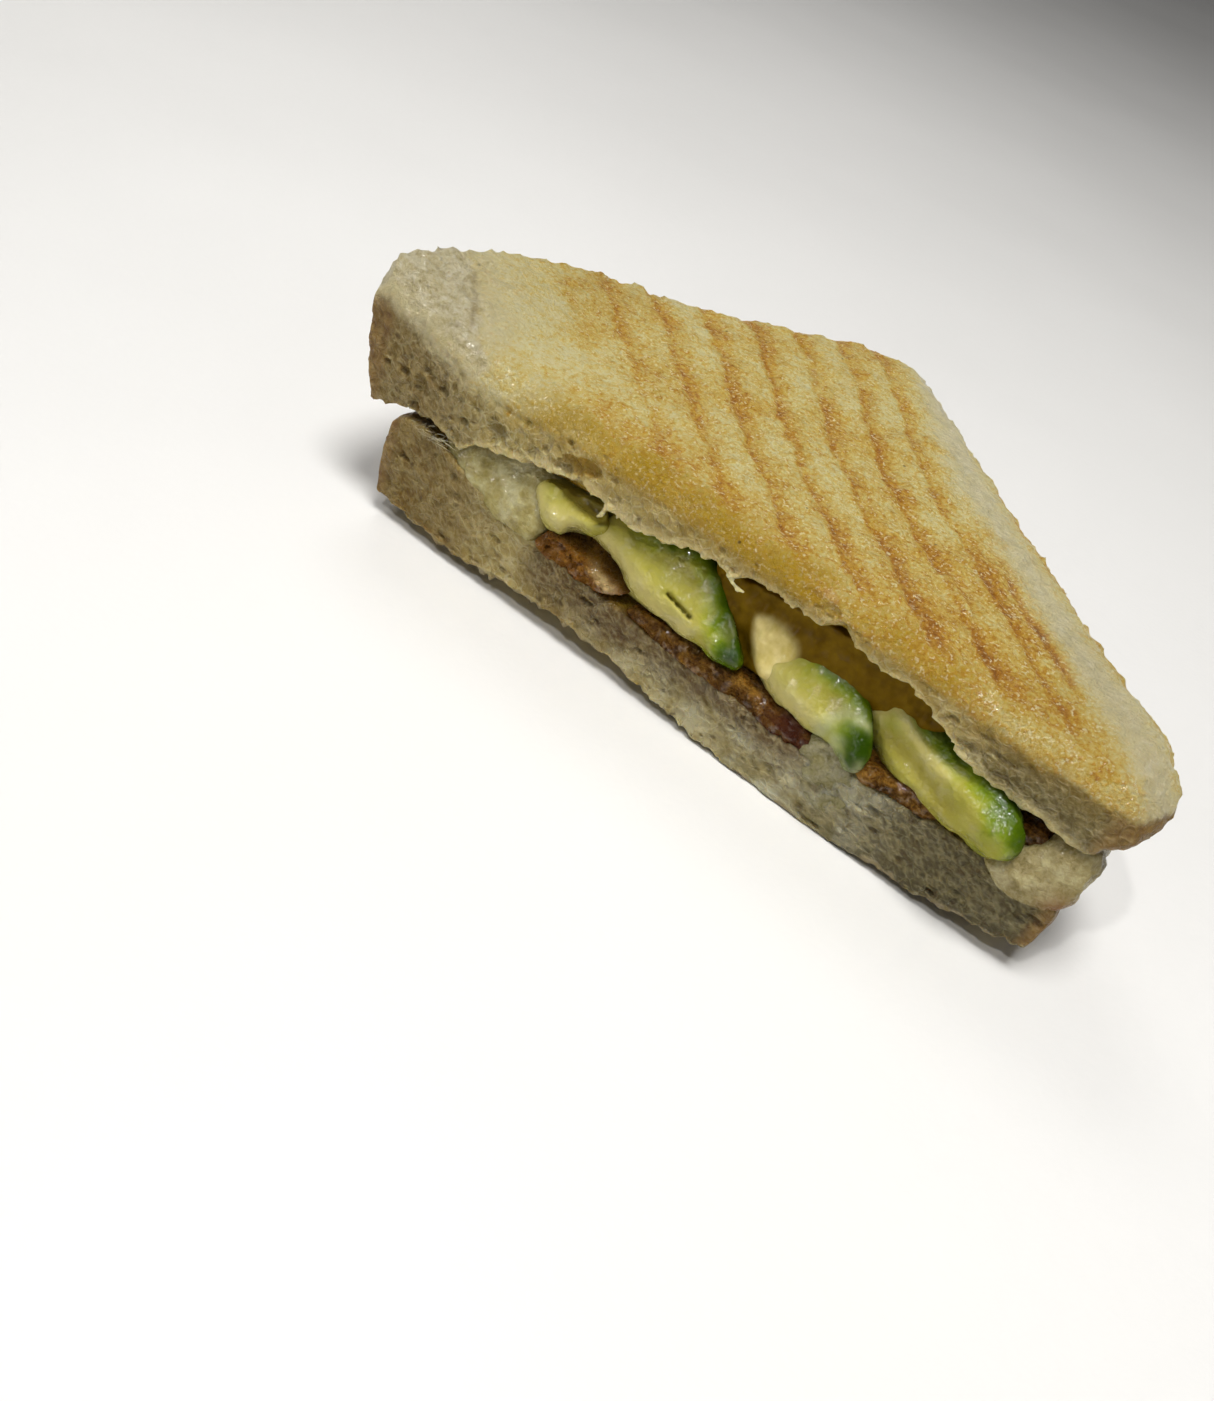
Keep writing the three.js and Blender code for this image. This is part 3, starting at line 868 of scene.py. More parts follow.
def crumb_looks(grid, points):
    """Where the toasted skin ends, and how the crumb, the crust and the wet underside look below it."""
    x, y, z = points.T
    patches, blotches = patches_of(grid, points), blotches_of(grid, points)
    depth = toast_height(x, y) - z
    left = fade(x, -44, -16)
    thickness = 1.2 + 0.7 * blotches + 1.4 * left + 2.0 * smoothstep(y, 4, 8)
    skin = fade(depth, thickness, thickness + 2.6 + 0.8 * patches + 3.4 * left)
    distance = upper_distance(x, y)
    cell, wall = upper_cells(x, z)
    open_crumb = smoothstep(depth - thickness, 0.8, 4.0) * fade(y, 2, 5)
    under = lerp(ceiling_height(x, y), upper_edge(x), fade(y, 0.5, 5))
    inner = fade(z - under, 0.2, 1.6 + 0.6 * blotches)
    lip = fade(z - under, 0.4, 2.0 + blotches) * fade(y, 1, 3)
    hole = np.exp(-(np.hypot((x + 17.7) / 3.8, (z - 30.6) / 2.2) ** 4))
    return {
        "skin": skin,
        "glow": np.exp(-np.maximum(depth - thickness, 0) / 2.6) * smoothstep(x, -34, -20) * (y < 8),
        # painted shade and light: cell darkens the crumb in the cell hollows, wall lightens the cell walls
        "cell": unit(cell * open_crumb),
        "wall": unit(wall * open_crumb),
        "crack": bell(line_distance(CRACK_LINE, x, y), 0, 0.35) * skin,
        "crust": unit(fade(distance, 0.5, 2.6) * (1 - skin)),
        "inner": inner * smoothstep(distance, 1.5, 6) * smoothstep(y, 0.8, 2.5),
        "lip": lip * smoothstep(x, -48, -38),
        # painted shade: how deep in a pore, darkening the crumb there
        "pore_shade": pit_depth(y, skin),
        # painted shade: ends darkens the crumb and the toast towards both ends of the slice
        "ends": np.maximum(fade(x, -46, -30), smoothstep(x, 44, 60)),
        "drawn": smoothstep(x, 20, 44),
        "hole": hole * smoothstep(y, 0.1, 0.5) * (y < 3),
    }


# ---------------------------------------------------------------- the lower slice

LOWER_STEP = 0.42
LOWER_CELLS = (143, 1.8)
# Each row: how many, from where to where along x, how far below the top, radius and flatness.
LOWER_PORES = [
    (70, (-50, -8), 0.6, 0.42, 1.5),
    (70, (-8, 36), 1.2, 0.38, 1.4),
    (110, (36, 73), 0.8, 0.42, 1.9),
]
LOWER_HOLES = [
    ((-9.2, 0.3, 10.2), (1.5, 1.0, 0.6)),
    ((71.6, 0.4, 14.6), (1.3, 1.0, 0.9)),
    ((58.5, 0.3, 3.6), (0.7, 1.0, 0.5)),
]


def lower_pores():
    rng = np.random.default_rng(17)
    pores = []
    for count, along, below_top, radius, flat in LOWER_PORES:

        def heights(x):
            return smooth_profile(LOWER_CURL, x) + 1, smooth_profile(LOWER_TOP, x) - below_top

        pores += scatter_pores(rng, count, along, heights, radius, flat)
    return pores + LOWER_HOLES


def build_lower(material):
    grid = Grid(
        np.arange(-55.5, 82.6, LOWER_STEP),
        spread(-2.2, CUT_LAYER, 91.0, 0.36, 0.8),
        np.arange(-0.84, 23.5, LOWER_STEP),
    )
    x, y, z = grid.x, grid.y, grid.z
    front = fade(y, 0.5, 5)
    rough = noise_over(grid, 3.2, 131, 3, 0.6)
    jags = noise_over(grid, (1.7, 2.0, 1.6), 141, 3, 0.8)
    rim = lerp(floor_height(x, y), lower_edge(x), fade(y, 0.3, 3))
    roof = np.minimum(rim, MEET_HEIGHT + MEET_RISE) + front * 0.3 * jags
    foot = np.maximum(board_height(x, y) + front * 0.5 * jags + 0.15 * rough, 0.02)
    height = unit((z - foot) / np.maximum(roof - foot, 1))
    side = lower_distance(x, y) + RIM_BULGE * np.sin(math.pi * height) + 0.25 * rough
    solid = round_min(side, roof - z, LOWER_TOP_RIM)
    solid = round_min(solid, z - foot, LOWER_BOTTOM_RIM * (1 - front) + 0.4 * front)
    lip = 0.2 * bell(z - foot, 0.2, 0.7)
    dents = CELL_DEPTH * crumb_cells(x, z, *LOWER_CELLS)[0] * smoothstep(z - foot, 0.6, 1.6)
    field = round_min(solid, y + lip - 0.2 * rough - dents, 0.6).astype(np.float32)
    for middle, radii in lower_pores():
        carve(grid, field, middle, radii)
    points, faces = surface_net(grid, field)
    looks = lower_looks(grid, points)
    return make_piece("lower_slice", points, faces, looks, material, "bread_lower")


def lower_looks(grid, points):
    x, y, z = points.T
    patches = noise_at(points, grid, 9, 151, 3)
    blotches = noise_at(points, grid, 3.0, 161, 3)
    core, halo = grill_lines(x, y)
    roof = floor_height(x, y)
    above = z - np.maximum(board_height(x, y), 0)
    cell, wall = crumb_cells(x, z, *LOWER_CELLS)
    open_crumb = smoothstep(above, 1, 3) * fade(y, 2, 5)
    edging = -0.2 + 1.1 * blotches
    skin = fade(above, edging, edging + 0.9)
    crust = fade(lower_distance(x, y), 0.5, 2.4) * (1 - skin)
    juice = smoothstep(x, -25, -19) * fade(x, -6, 3) * smoothstep(z, 2, 9 + 2 * blotches)
    seep = smoothstep(x, -6, 0) * fade(x, 30, 37) * smoothstep(z - roof, -6.5 + 2 * blotches, -2.0)
    patch = np.exp(-(((x - 74) / 2.6) ** 2 + ((z - 14.4) / 2.2) ** 2)) * (y < 3)
    return {
        "skin": skin,
        "browned": unit(0.24 + 0.2 * patches + 0.1 * blotches),
        "white": (0.4 + 0.5 * smoothstep(x, -10, 25)) * fade(y, 2, 8),
        # painted shade and light: cell darkens the crumb in the cell hollows, wall lightens the cell walls
        "cell": unit(cell * open_crumb),
        "wall": unit(wall * open_crumb),
        "line": unit(core),
        "halo": unit(halo),
        "crust": unit(np.maximum(crust, 0.9 * patch)),
        "tan": unit(fade(x, -46, -18) * (0.75 + 0.5 * blotches)),
        "stain": unit(0.95 * juice + 0.9 * seep) * fade(y, 2, 5),
        "damp": unit(smoothstep(x, -14, -2) * fade(x, 40, 52) * (0.8 + 0.6 * patches)),
        "inner": fade(roof - z, 0.2, 1.2) * smoothstep(lower_distance(x, y), 4, 12) * smoothstep(y, 0, 2),
        # painted shade: how deep in a pore, darkening the crumb there
        "pore_shade": pit_depth(y, skin),
        # painted shade: ends darkens the crumb and the toast towards both ends of the slice
        "ends": np.maximum(0.8 * fade(x, -46, -24), 1.15 * smoothstep(x, 26, 46)),
        "drawn": smoothstep(x, 0, 30),
        "foot": fade(y, 1, 6),
    }


# ---------------------------------------------------------------- outlines of the fillings

RAY_ACROSS, RAY_DOWN = 0.382, 0.863
CLEARANCE = 0.25


def closed_curve(corners, steps=6):
    """A smooth closed line through the corners."""
    p = np.array(corners, float)
    before, after, beyond = np.roll(p, 1, 0), np.roll(p, -1, 0), np.roll(p, -2, 0)
    curve = []
    for t in np.arange(steps) / steps:
        part = 2 * p + (after - before) * t + (2 * before - 5 * p + 4 * after - beyond) * t**2
        curve.append(0.5 * (part + (3 * p - before - 3 * after + beyond) * t**3))
    return np.stack(curve, 1).reshape(-1, 2)


def outline_distance(curve, x, z):
    """How far points lie inside a closed line; negative outside."""
    x, z = np.broadcast_arrays(x, z)
    inside = np.zeros(x.shape, bool)
    closed = np.vstack([curve, curve[:1]])
    for (x0, z0), (x1, z1) in zip(closed[:-1], closed[1:]):
        if z0 != z1:
            inside ^= ((z0 > z) != (z1 > z)) & (x < x0 + (z - z0) * (x1 - x0) / (z1 - z0))
    return np.where(inside, 1, -1) * line_distance(closed, x, z)


def room(x, y, z):
    """How far a point lies inside the gap between the slices, less the clearance."""
    return np.minimum(ceiling_height(x, y) - z, z - floor_height(x, y)) - CLEARANCE


def filling_grid(curve, back, step=0.34, margin=1.2, ahead=6.5, below=1):
    """A grid round a filling, with room for its swelling ahead of the cut and its drift behind it."""
    low, high = curve.min(0) - margin, curve.max(0) + margin
    return Grid(
        np.arange(low[0] - 0.25 * back, high[0] + ahead * 0.4, step),
        spread(-ahead, 4, back + 1, step, 1.3, 1.15),
        np.arange(low[1] - below, high[1] + ahead * 0.9, step),
    )


# ---------------------------------------------------------------- avocado

# Lines lie on the cut, as (x, z). A slice swells out of the cut by "dome" within "half" of its outline,
# leans back by "tilt" for each millimetre up and by "lean" from end to end, and runs in to "back".
# "green" is the side with the skin, "deep" how green it is, "reach" how far that spreads and "dark" its
# darkest part. "hollow" is how much painted shade, in brown, lies in the valley, "cream" the pale edge,
# "slits" are short cuts and "veils" pale films.
AVOCADOS = {
    "avocado_1": {
        "outline": [
            (-24.4, 23.4), (-22.6, 26.6), (-18, 29.6), (-13, 29.2), (-10.5, 26.6), (-9.8, 24.0),
            (-12.2, 21.6), (-15.4, 20.8), (-17.4, 18.4), (-20.4, 18.0), (-22.6, 20.2),
        ],
        "front": 0.3, "dome": 1.4, "half": 3.2, "lean": 0.0, "back": 34, "tilt": 0.28,
        "ridge": [(-21, 19.6), (-16, 21.4), (-11.4, 23.2)], "ridge_height": 0.5,
        "valley": [(-17.8, 26.6), (-12.8, 26.0)], "valley_depth": 2.0,
        "green": [], "dark": [], "deep": 0.0, "reach": 1.0, "valley_shade": 0.65,
        "cream": [(-24.2, 24.0), (-22.0, 20.0), (-16.0, 20.0)], "cream_reach": 4.0,
    },
    "avocado_2": {
        "outline": [
            (-12.4, 22.2), (-12.0, 25.4), (-9.8, 28.8), (-5, 31.2), (1, 32.2), (5.6, 32.6),
            (9.6, 31.0), (12.8, 26.4), (16.6, 21.6), (18.2, 18.6), (17.4, 16.4), (13.5, 15.5),
            (11.0, 16.2), (7.2, 15.7), (4.4, 16.5), (1.4, 16.2), (-3.3, 17.2), (-5.6, 19.4),
            (-7.8, 20.8),
        ],
        "front": 0.0, "dome": 2.0, "half": 4.2, "lean": -0.4, "back": 56, "tilt": 0.4,
        "ridge": [(-7, 22.6), (0, 19.8), (9, 18.4)], "ridge_height": 0.3,
        "valley": [(12.4, 23.4), (13.4, 19.6)], "valley_depth": 0.6,
        "green": [(-2, 31.4), (5.6, 32.6), (9.6, 31.0), (12.8, 26.4), (16.6, 21.6)],
        "dark": [(14.8, 22.6), (16.6, 19.6), (15.8, 17.6)], "deep": 0.85, "reach": 7.0, "valley_shade": 0.0,
        "cream": [(-10.5, 23.0), (-5.6, 20.2), (1.4, 17.2), (7.2, 16.4)], "cream_reach": 3.6,
        "slits": [[(3.0, 20.5), (5.5, 19.9), (7.6, 19.3)]],
    },
    "avocado_3": {
        "outline": [
            (20.2, 20.5), (20.6, 24.4), (23.8, 27.8), (29.6, 28.8), (34.8, 28.4), (38.2, 26.4),
            (40.2, 22.8), (41.5, 18.6), (41.3, 15.4), (40.2, 13.4), (38.4, 13.0), (36.2, 14.6),
            (33.0, 15.2), (30.6, 14.8), (28.4, 15.7), (25.2, 16.2), (22.4, 18.0),
        ],
        "front": 0.0, "dome": 2.0, "half": 4.2, "lean": -0.8, "back": 42, "tilt": 0.4,
        "ridge": [(23, 20.5), (28, 18.6), (33, 17.6)], "ridge_height": 0.3,
        "valley": [(33.6, 21.8), (34.6, 16.4)], "valley_depth": 0.7,
        "green": [(29.6, 29.4), (34.8, 28.8), (38.8, 26.4), (41.0, 22.6)],
        "dark": [(39.2, 19.0), (39.2, 14.8)], "deep": 0.75, "reach": 7.5, "valley_shade": 0.0,
        "cream": [(20.8, 24.6), (20.6, 21.4), (22.6, 18.2), (28.4, 16.0)], "cream_reach": 4.4,
        "veils": [
            [(33.0, 15.2), (33.6, 19.4), (35.4, 21.8), (38.6, 21.8)],
            [(35.2, 16.4), (36.6, 12.8), (39.8, 12.2), (40.6, 14.4)],
        ],
    },
    "avocado_4": {
        "outline": [
            (38.1, 25.0), (39.6, 27.6), (43.2, 30.2), (48.6, 31.0), (55.0, 29.6), (60.2, 27.2),
            (63.4, 24.2), (65.0, 20.8), (64.4, 17.0), (62.4, 15.0), (60.0, 14.8), (57.4, 15.6),
            (55.2, 15.2), (50.5, 15.9), (48.6, 16.9), (45.4, 17.2), (41.4, 20.7), (39.2, 23.2),
        ],
        "front": 0.3, "dome": 2.0, "half": 4.6, "lean": -2.6, "back": 17, "tilt": 0.42,
        "ridge": [(41.3, 28.4), (44.3, 25.4), (47.4, 23.4), (50.4, 22.2), (54, 21), (59.6, 18.6)],
        "ridge_height": 0.8,
        "valley": [(42.6, 22.6), (46.1, 21.0), (50.0, 19.2), (52.6, 17.6)], "valley_depth": 0.8,
        "green": [(47.6, 31.4), (55.0, 30.0), (60.2, 27.4), (63.6, 24.2), (65.0, 20.6)],
        # The green here spreads far and deep: skin-side green, and painted shade over the right of the
        # face.
        "dark": [], "deep": 0.9, "reach": 9.5, "valley_shade": 0.25,
        "cream": [(39.2, 25.4), (41.0, 28.4), (44.3, 25.6), (47.6, 23.4), (50.6, 22.2)], "cream_reach": 2.2,
    },
}
AVOCADO_DRIFT = -0.22
DARK_REACH = 6.0
SLIT_WIDTH, SLIT_DEPTH = 0.34, 1.5
RIDGE_WIDTH, VALLEY_WIDTH = 2.2, 2.0
FACE_DEPTH = 8
FACE_END = 20


def along_face(x, y, z):
    """Where a point of a leaning face falls on the cut, when it is looked at from the front."""
    deep = np.minimum(y, FACE_DEPTH) * fade(y, FACE_DEPTH, FACE_END)
    drift = AVOCADO_DRIFT * np.maximum(y, 0) * smoothstep(y, 2, FACE_END)
    return x + deep * RAY_ACROSS - drift, z + deep * RAY_DOWN


def near_line(line, x, z, reach):
    """1 on the line, falling to 0 where the reach ends; 0 everywhere if there is no line."""
    if not line:
        return np.zeros(len(x))
    return fade(line_distance(line, x, z) / reach, 0.05, 1)


def avocado_field(spec, number, grid, curve):
    x, y, z = grid.x, grid.y, grid.z
    across, upright = along_face(x, y, z)
    ripple = noise_over(grid, 4, 200 + number, 2)
    fine = noise_over(grid, 1.4, 220 + number, 2, 0.7)
    section = outline_distance(curve, across, upright) + 0.25 * ripple + 0.16 * fine
    section = section - 0.06 * np.maximum(y - FACE_DEPTH, 0)
    (low_x, low_z), (high_x, _) = curve.min(0), curve.max(0)
    lean = spec["lean"] * smoothstep(x, low_x, high_x)
    plump = np.sqrt(1 - (1 - unit(section / spec["half"])) ** 2)
    front = spec["front"] + lean - spec["dome"] * plump + spec["tilt"] * (upright - low_z)
    ridge = bell(line_distance(spec["ridge"], across, upright), 0, RIDGE_WIDTH)
    valley = bell(line_distance(spec["valley"], across, upright), 0, VALLEY_WIDTH)
    front = front - spec["ridge_height"] * ridge + spec["valley_depth"] * valley
    front = front + 0.18 * ripple + 0.07 * fine
    for slit in spec.get("slits", []):
        front = front + SLIT_DEPTH * bell(line_distance(slit, across, upright), 0, SLIT_WIDTH)
    field = round_min(section, (y - front) * 0.85, 1.0)
    field = round_min(field, spec["back"] - y, 3)
    return soft_min(field, room(x, np.maximum(y, 0), z) + 2.5 * fade(y, 0.2, 2), 0.3)


def avocado_looks(spec, number, grid, curve, points):
    x, z = along_face(*points.T)
    blotches = noise_at(points, grid, 3, 240 + number, 3)
    skinward = near_line(spec["green"], x, z, spec["reach"] * (1 + 0.25 * blotches))
    darkest = near_line(spec["dark"], x, z, DARK_REACH * (1 + 0.25 * blotches))
    veil = np.zeros(len(points))
    for line in spec.get("veils", []):
        veil = np.maximum(veil, bell(line_distance(line, x, z), 0, 1.0 + 0.4 * blotches))
    return {
        "green": unit(np.maximum(spec["deep"] * skinward, darkest)),
        # painted shade: dark olive along the skin-side edge, where the upper slice's edge shades it
        "rim": smoothstep(outline_distance(curve, x, z), 1.2, 0.0) * skinward,
        "cream": near_line(spec["cream"], x, z, spec["cream_reach"] * (1 + 0.4 * blotches)),
        "smear": smoothstep(noise_at(points, grid, 2.4, 260 + number, 2), 0.25, 0.7),
        # painted shade: brown in the valley
        "valley_shade": spec["valley_shade"] * bell(line_distance(spec["valley"], x, z), 0, VALLEY_WIDTH),
        "veil": veil,
    }


def build_avocado(name, spec, number, material):
    curve = closed_curve(spec["outline"])
    grid = filling_grid(curve, spec["back"], below=6)
    points, faces = surface_net(grid, avocado_field(spec, number, grid, curve).astype(np.float32))
    looks = avocado_looks(spec, number, grid, curve, points)
    return make_piece(name + "_slice", points, faces, looks, material, name)


# ---------------------------------------------------------------- cheese

CHEESE_THICKNESS = 1.4
CHEESE_INSET = 7
CHEESE_ENDS = (-43, 73.5)
CHEESE_LOWEST = 3.2
LUMP_DEPTH = 12
CHEESE_BLOB = [
    (-42.0, 19.0), (-39.4, 21.0), (-36.4, 22.4), (-32.2, 22.8), (-25.7, 24.6), (-23.2, 23.2),
    (-22.4, 19.4), (-20.8, 17.4), (-21.8, 14.6), (-23.8, 13.8), (-28.2, 14.4), (-33.8, 15.4),
    (-38.6, 16.8),
]
CHEESE_DRAPE = [
    (31.6, 12.2), (33.4, 14.2), (36.6, 15.2), (39.4, 14.0), (40.8, 12.0), (41.4, 9.4), (41.0, 6.4),
    (39.0, 4.4), (36.4, 4.6), (34.6, 6.2), (33.4, 8.4), (32.0, 10.4),
]
CHEESE_BULGE = [
    (61.6, 14.6), (64.8, 17.8), (67.4, 21.8), (70.0, 24.4), (73.2, 23.6), (74.4, 19.6), (74.0, 15.4),
    (71.0, 13.2), (66.6, 12.4),
]


def dome(outline, x, y, z, height, reach, soft, tilt=0.42):
    """A lump with that outline on the cut, swelling out of it by its height within reach of its edge."""
    section = outline_distance(closed_curve(outline), x, z) + soft
    swell = np.sqrt(1 - (1 - unit(section / reach)) ** 2)
    low = min(corner[1] for corner in outline)
    front = tilt * (z - low) - height * swell + 0.6 * soft - 0.3
    return round_min(round_min(section, y - front, 0.8), LUMP_DEPTH - y, 1)


def build_cheese(material):
    grid = Grid(
        np.arange(-46, 77, 0.42),
        spread(-3.4, 3.5, 78, 0.36, 1.6, 1.15),
        np.arange(3, 26.5, 0.38),
    )
    x, y, z = grid.x, grid.y, grid.z
    soft = noise_over(grid, 3.4, 301, 3, 0.6)
    behind = np.maximum(y, 0)
    bed = floor_height(x, behind) + 0.12
    sheet = np.minimum(z - bed, bed + CHEESE_THICKNESS + 0.3 * soft - z)
    sheet = np.minimum(sheet, lower_distance(x, behind) - CHEESE_INSET)
    sheet = np.minimum(sheet, np.minimum(x - CHEESE_ENDS[0], CHEESE_ENDS[1] - x))
    behind_bacon = smoothstep(x, -26, -22) * fade(x, 54, 60)
    field = np.minimum(sheet, y - 1.6 - 0.6 * soft - 3.0 * behind_bacon)
    blob = dome(CHEESE_BLOB, x, y, z, 1.5, 4.5, 0.6 + 0.9 * soft)
    drape = dome(CHEESE_DRAPE, x, y, z, 0.5, 2.4, 0.5 + 1.5 * soft, 0.05)
    bulge = dome(CHEESE_BULGE, x, y, z, 2.2, 6.0, 0.4 + 0.7 * soft, 0.2)
    for lump in (blob, drape, bulge):
        field = soft_max(field, lump, 0.8)
    field = np.minimum(field, ceiling_height(x, behind) - z - 0.1 + 3 * fade(y, 1, 5))
    field = np.minimum(field, z - CHEESE_LOWEST)
    points, faces = surface_net(grid, field.astype(np.float32))
    px, _, pz = points.T
    looks = {
        "right": smoothstep(px, 58, 66),
        "crumbly": smoothstep(px, 24, 30) * fade(px, 44, 50),
        "tan": np.exp(-(((px - 73.6) / 2.4) ** 2 + ((pz - 14.6) / 2.4) ** 2)),
    }
    return make_piece("cheese_melt", points, faces, looks, material, "cheese")


# ---------------------------------------------------------------- bacon

# "drop" is how far a rasher's outline shrinks behind the cut. "lumpy" marks the one with a cave over
# its lumps, lighter lean and a line of soft fat.
BACON = {
    "bacon_1": {
        "outline": [
            (-21.5, 14.2), (-20.2, 16.6), (-17.5, 18.8), (-14, 20.6), (-11, 21.0), (-7.2, 20.2),
            (-4.6, 18.2), (-3.4, 16.2), (-5.6, 13.8), (-9.4, 12.5), (-14, 12.1), (-19, 12.6),
        ],
        "front": 0.2, "back": 38, "drop": 1.0, "lumpy": 1.0,
    },
    "bacon_2": {
        "outline": [
            (-2.4, 13.4), (0, 15.4), (5, 15.2), (10, 14.9), (15, 15.3), (20, 15.0), (25, 14.6),
            (29.5, 15.0), (33.4, 14.2), (34.4, 12.0), (32.0, 9.6), (28, 9.9), (22, 11.0), (12, 11.1),
            (4, 11.6),
        ],
        "front": 0.3, "back": 60, "drop": 0.3, "lumpy": 0.0,
    },
    "bacon_3": {
        "outline": [
            (39.8, 14.6), (43.5, 16.4), (47.5, 17.2), (52.6, 16.6), (53.0, 14.4), (47.5, 12.2),
            (43, 11.8),
        ],
        "front": 0.2, "back": 26, "drop": 0.0, "lumpy": 0.0,
    },
    "bacon_4": {
        "outline": [
            (55.6, 16.0), (58.5, 19.6), (62, 21.4), (66.2, 22.4), (67.8, 20.6), (64.5, 18.4),
            (60, 16.4),
        ],
        "front": 1.4, "back": 24, "drop": 0.0, "lumpy": 0.0,
    },
}
CAVE_DEPTH = 3.4
SOFT_FAT = [(-11.6, 18.4), (-9.8, 17.0), (-8.2, 15.8), (-6.4, 15.2)]


def cave_height(x, z):
    """How far a point lies above the lumps of the first rasher, where it draws back from the cut."""
    return z - 17.4 + 0.13 * (x + 19)


def bacon_field(spec, number, grid, curve):
    x, y, z = grid.x, grid.y, grid.z
    behind = np.maximum(y, 0)
    waves = noise_over(grid, 5, 400 + number, 2)
    lumps = noise_over(grid, 1.3, 420 + number, 3, 0.65)
    section = outline_distance(curve, x, z + 0.5 * np.sin(y / 5 + number))
    section = section - spec["drop"] * smoothstep(y, 2, 8) + 0.3 * waves + 0.4 * lumps
    front = spec["front"] + 0.7 * waves + lerp(0.4, 0.9, spec["lumpy"]) * lumps
    front = front + spec["lumpy"] * CAVE_DEPTH * smoothstep(cave_height(x, z), -0.3, 1.2)
    field = round_min(round_min(section, y - front, 0.9), spec["back"] - y, 1)
    cheese_top = floor_height(x, behind) + CHEESE_THICKNESS * 0.6
    field = np.minimum(field, z - cheese_top + 2 * fade(y, 0.5, 2))
    return np.minimum(field, ceiling_height(x, behind) - z - 0.2)


def build_bacon(name, spec, number, material):
    curve = closed_curve(spec["outline"])
    grid = filling_grid(curve, spec["back"], margin=1.6, ahead=2.5)
    points, faces = surface_net(grid, bacon_field(spec, number, grid, curve).astype(np.float32))
    x, _, z = points.T
    fat = noise_at(points, grid, (3.2, 9, 0.9), 440 + number, 2)
    looks = {
        "fat": smoothstep(fat, 0.25, 0.6),
        "red": smoothstep(x, 21, 28) * fade(x, 36, 40),
        # cave marks the recess above the first rasher's lumps, which takes painted shade
        "cave": spec["lumpy"] * smoothstep(cave_height(x, z), -0.6, 0.6),
        "light": np.full(len(points), spec["lumpy"]),
        "bits": spec["lumpy"] * bell(line_distance(SOFT_FAT, x, z), 0, 0.8 + 0.5 * fat),
    }
    return make_piece(name + "_rasher", points, faces, looks, material, name)


# ---------------------------------------------------------------- sauce

SAUCE = [
    (16.8, 21.6), (16.0, 24.6), (18.6, 25.6), (22.4, 25.0), (24.4, 22.6), (24.0, 19.6), (23.0, 17.4),
    (21.0, 16.6), (19.4, 17.6), (18.0, 19.4),
]
# The wall fills the gap behind, between avocados 2 and 3; its dark amber is sauce colour with painted
# shade.
SAUCE_WALL = [
    (15.0, 15.5), (9.6, 22), (7.5, 30), (14, 34), (30, 35.5), (42, 34), (50, 30.5), (48, 25),
    (39.5, 21), (30, 21), (24.0, 16.0), (19, 14.8),
]
SAUCE_WALL_FRONT, SAUCE_BACK = 3.2, 26


def build_sauce(material):
    curve = closed_curve(SAUCE_WALL)
    grid = filling_grid(curve, SAUCE_BACK, margin=1.0, ahead=2.0)
    x, y, z = grid.x, grid.y, grid.z
    soft = noise_over(grid, (1.4, 3, 3), 501, 2)
    behind = np.maximum(y, 0)
    section = outline_distance(curve, x - AVOCADO_DRIFT * behind, z) + 0.25 * soft - 0.02 * behind
    wall = round_min(section, y - SAUCE_WALL_FRONT - 0.5 * soft, 1.2)
    dollop = outline_distance(closed_curve(SAUCE), x, z) + 0.25 * soft
    dollop = round_min(dollop, y - 0.2 - 0.34 * (z - 17) - 0.35 * soft, 2.4)
    field = round_min(soft_max(wall, dollop, 2.4), SAUCE_BACK - y, 1)
    field = np.minimum(field, room(x, behind, z))
    points, faces = surface_net(grid, field.astype(np.float32))
    inside = outline_distance(closed_curve(SAUCE), points[:, 0], points[:, 2])
    # deep marks the wall and all that lies back from the cut, which take the darker amber: sauce colour
    # with painted shade
    looks = {"deep": np.maximum(fade(inside, -0.8, 1.2), smoothstep(points[:, 1], 3.4, 4.4))}
    return make_piece("sauce_dollop", points, faces, looks, material, "sauce")


# ---------------------------------------------------------------- bread material


def bread_patterns(s):
    """The noises that the toast and the crumb share."""
    cloud = s.noise(6, 3, 0.6, 0.4)
    # painted light: a net of lighter crumb walls between the pores
    web = s.fit(s.cells(1.9, "DISTANCE_TO_EDGE", s.warp(1.4, 0.7)), 0.0, 0.13, 1.0, 0.0)
    fine = s.noise(0.45, 3, 0.7)
    streaks = s.noise(0.42, 3, 0.7, 0.0, s.stretch((0.3, 1, 1)))
    # painted shade: dark spots that stand in for shaded pores
    shaded_pits = s.fit(s.cells(2.3, "F1", s.warp(1.4, 0.7, s.stretch((0.7, 1, 1)))), 0.1, 0.3, 1.0, 0.0)
    return SimpleNamespace(
        grain=s.noise(0.6, 4, 0.8),
        fleck=s.noise(1.5, 3, 0.7, 0.2),
        cloud=cloud,
        soft=s.noise(1.3, 3, 0.55),
        flakes=s.cells(0.9, "F1", s.warp(0.8, 0.3)),
        web=web * s.fit(cloud, 0.36, 0.56, 0.2, 1.0),
        weave=fine + s.attribute("drawn") * (streaks - fine),
        shaded_pits=shaded_pits * s.fit(s.noise(3.6, 2), 0.42, 0.54),
    )


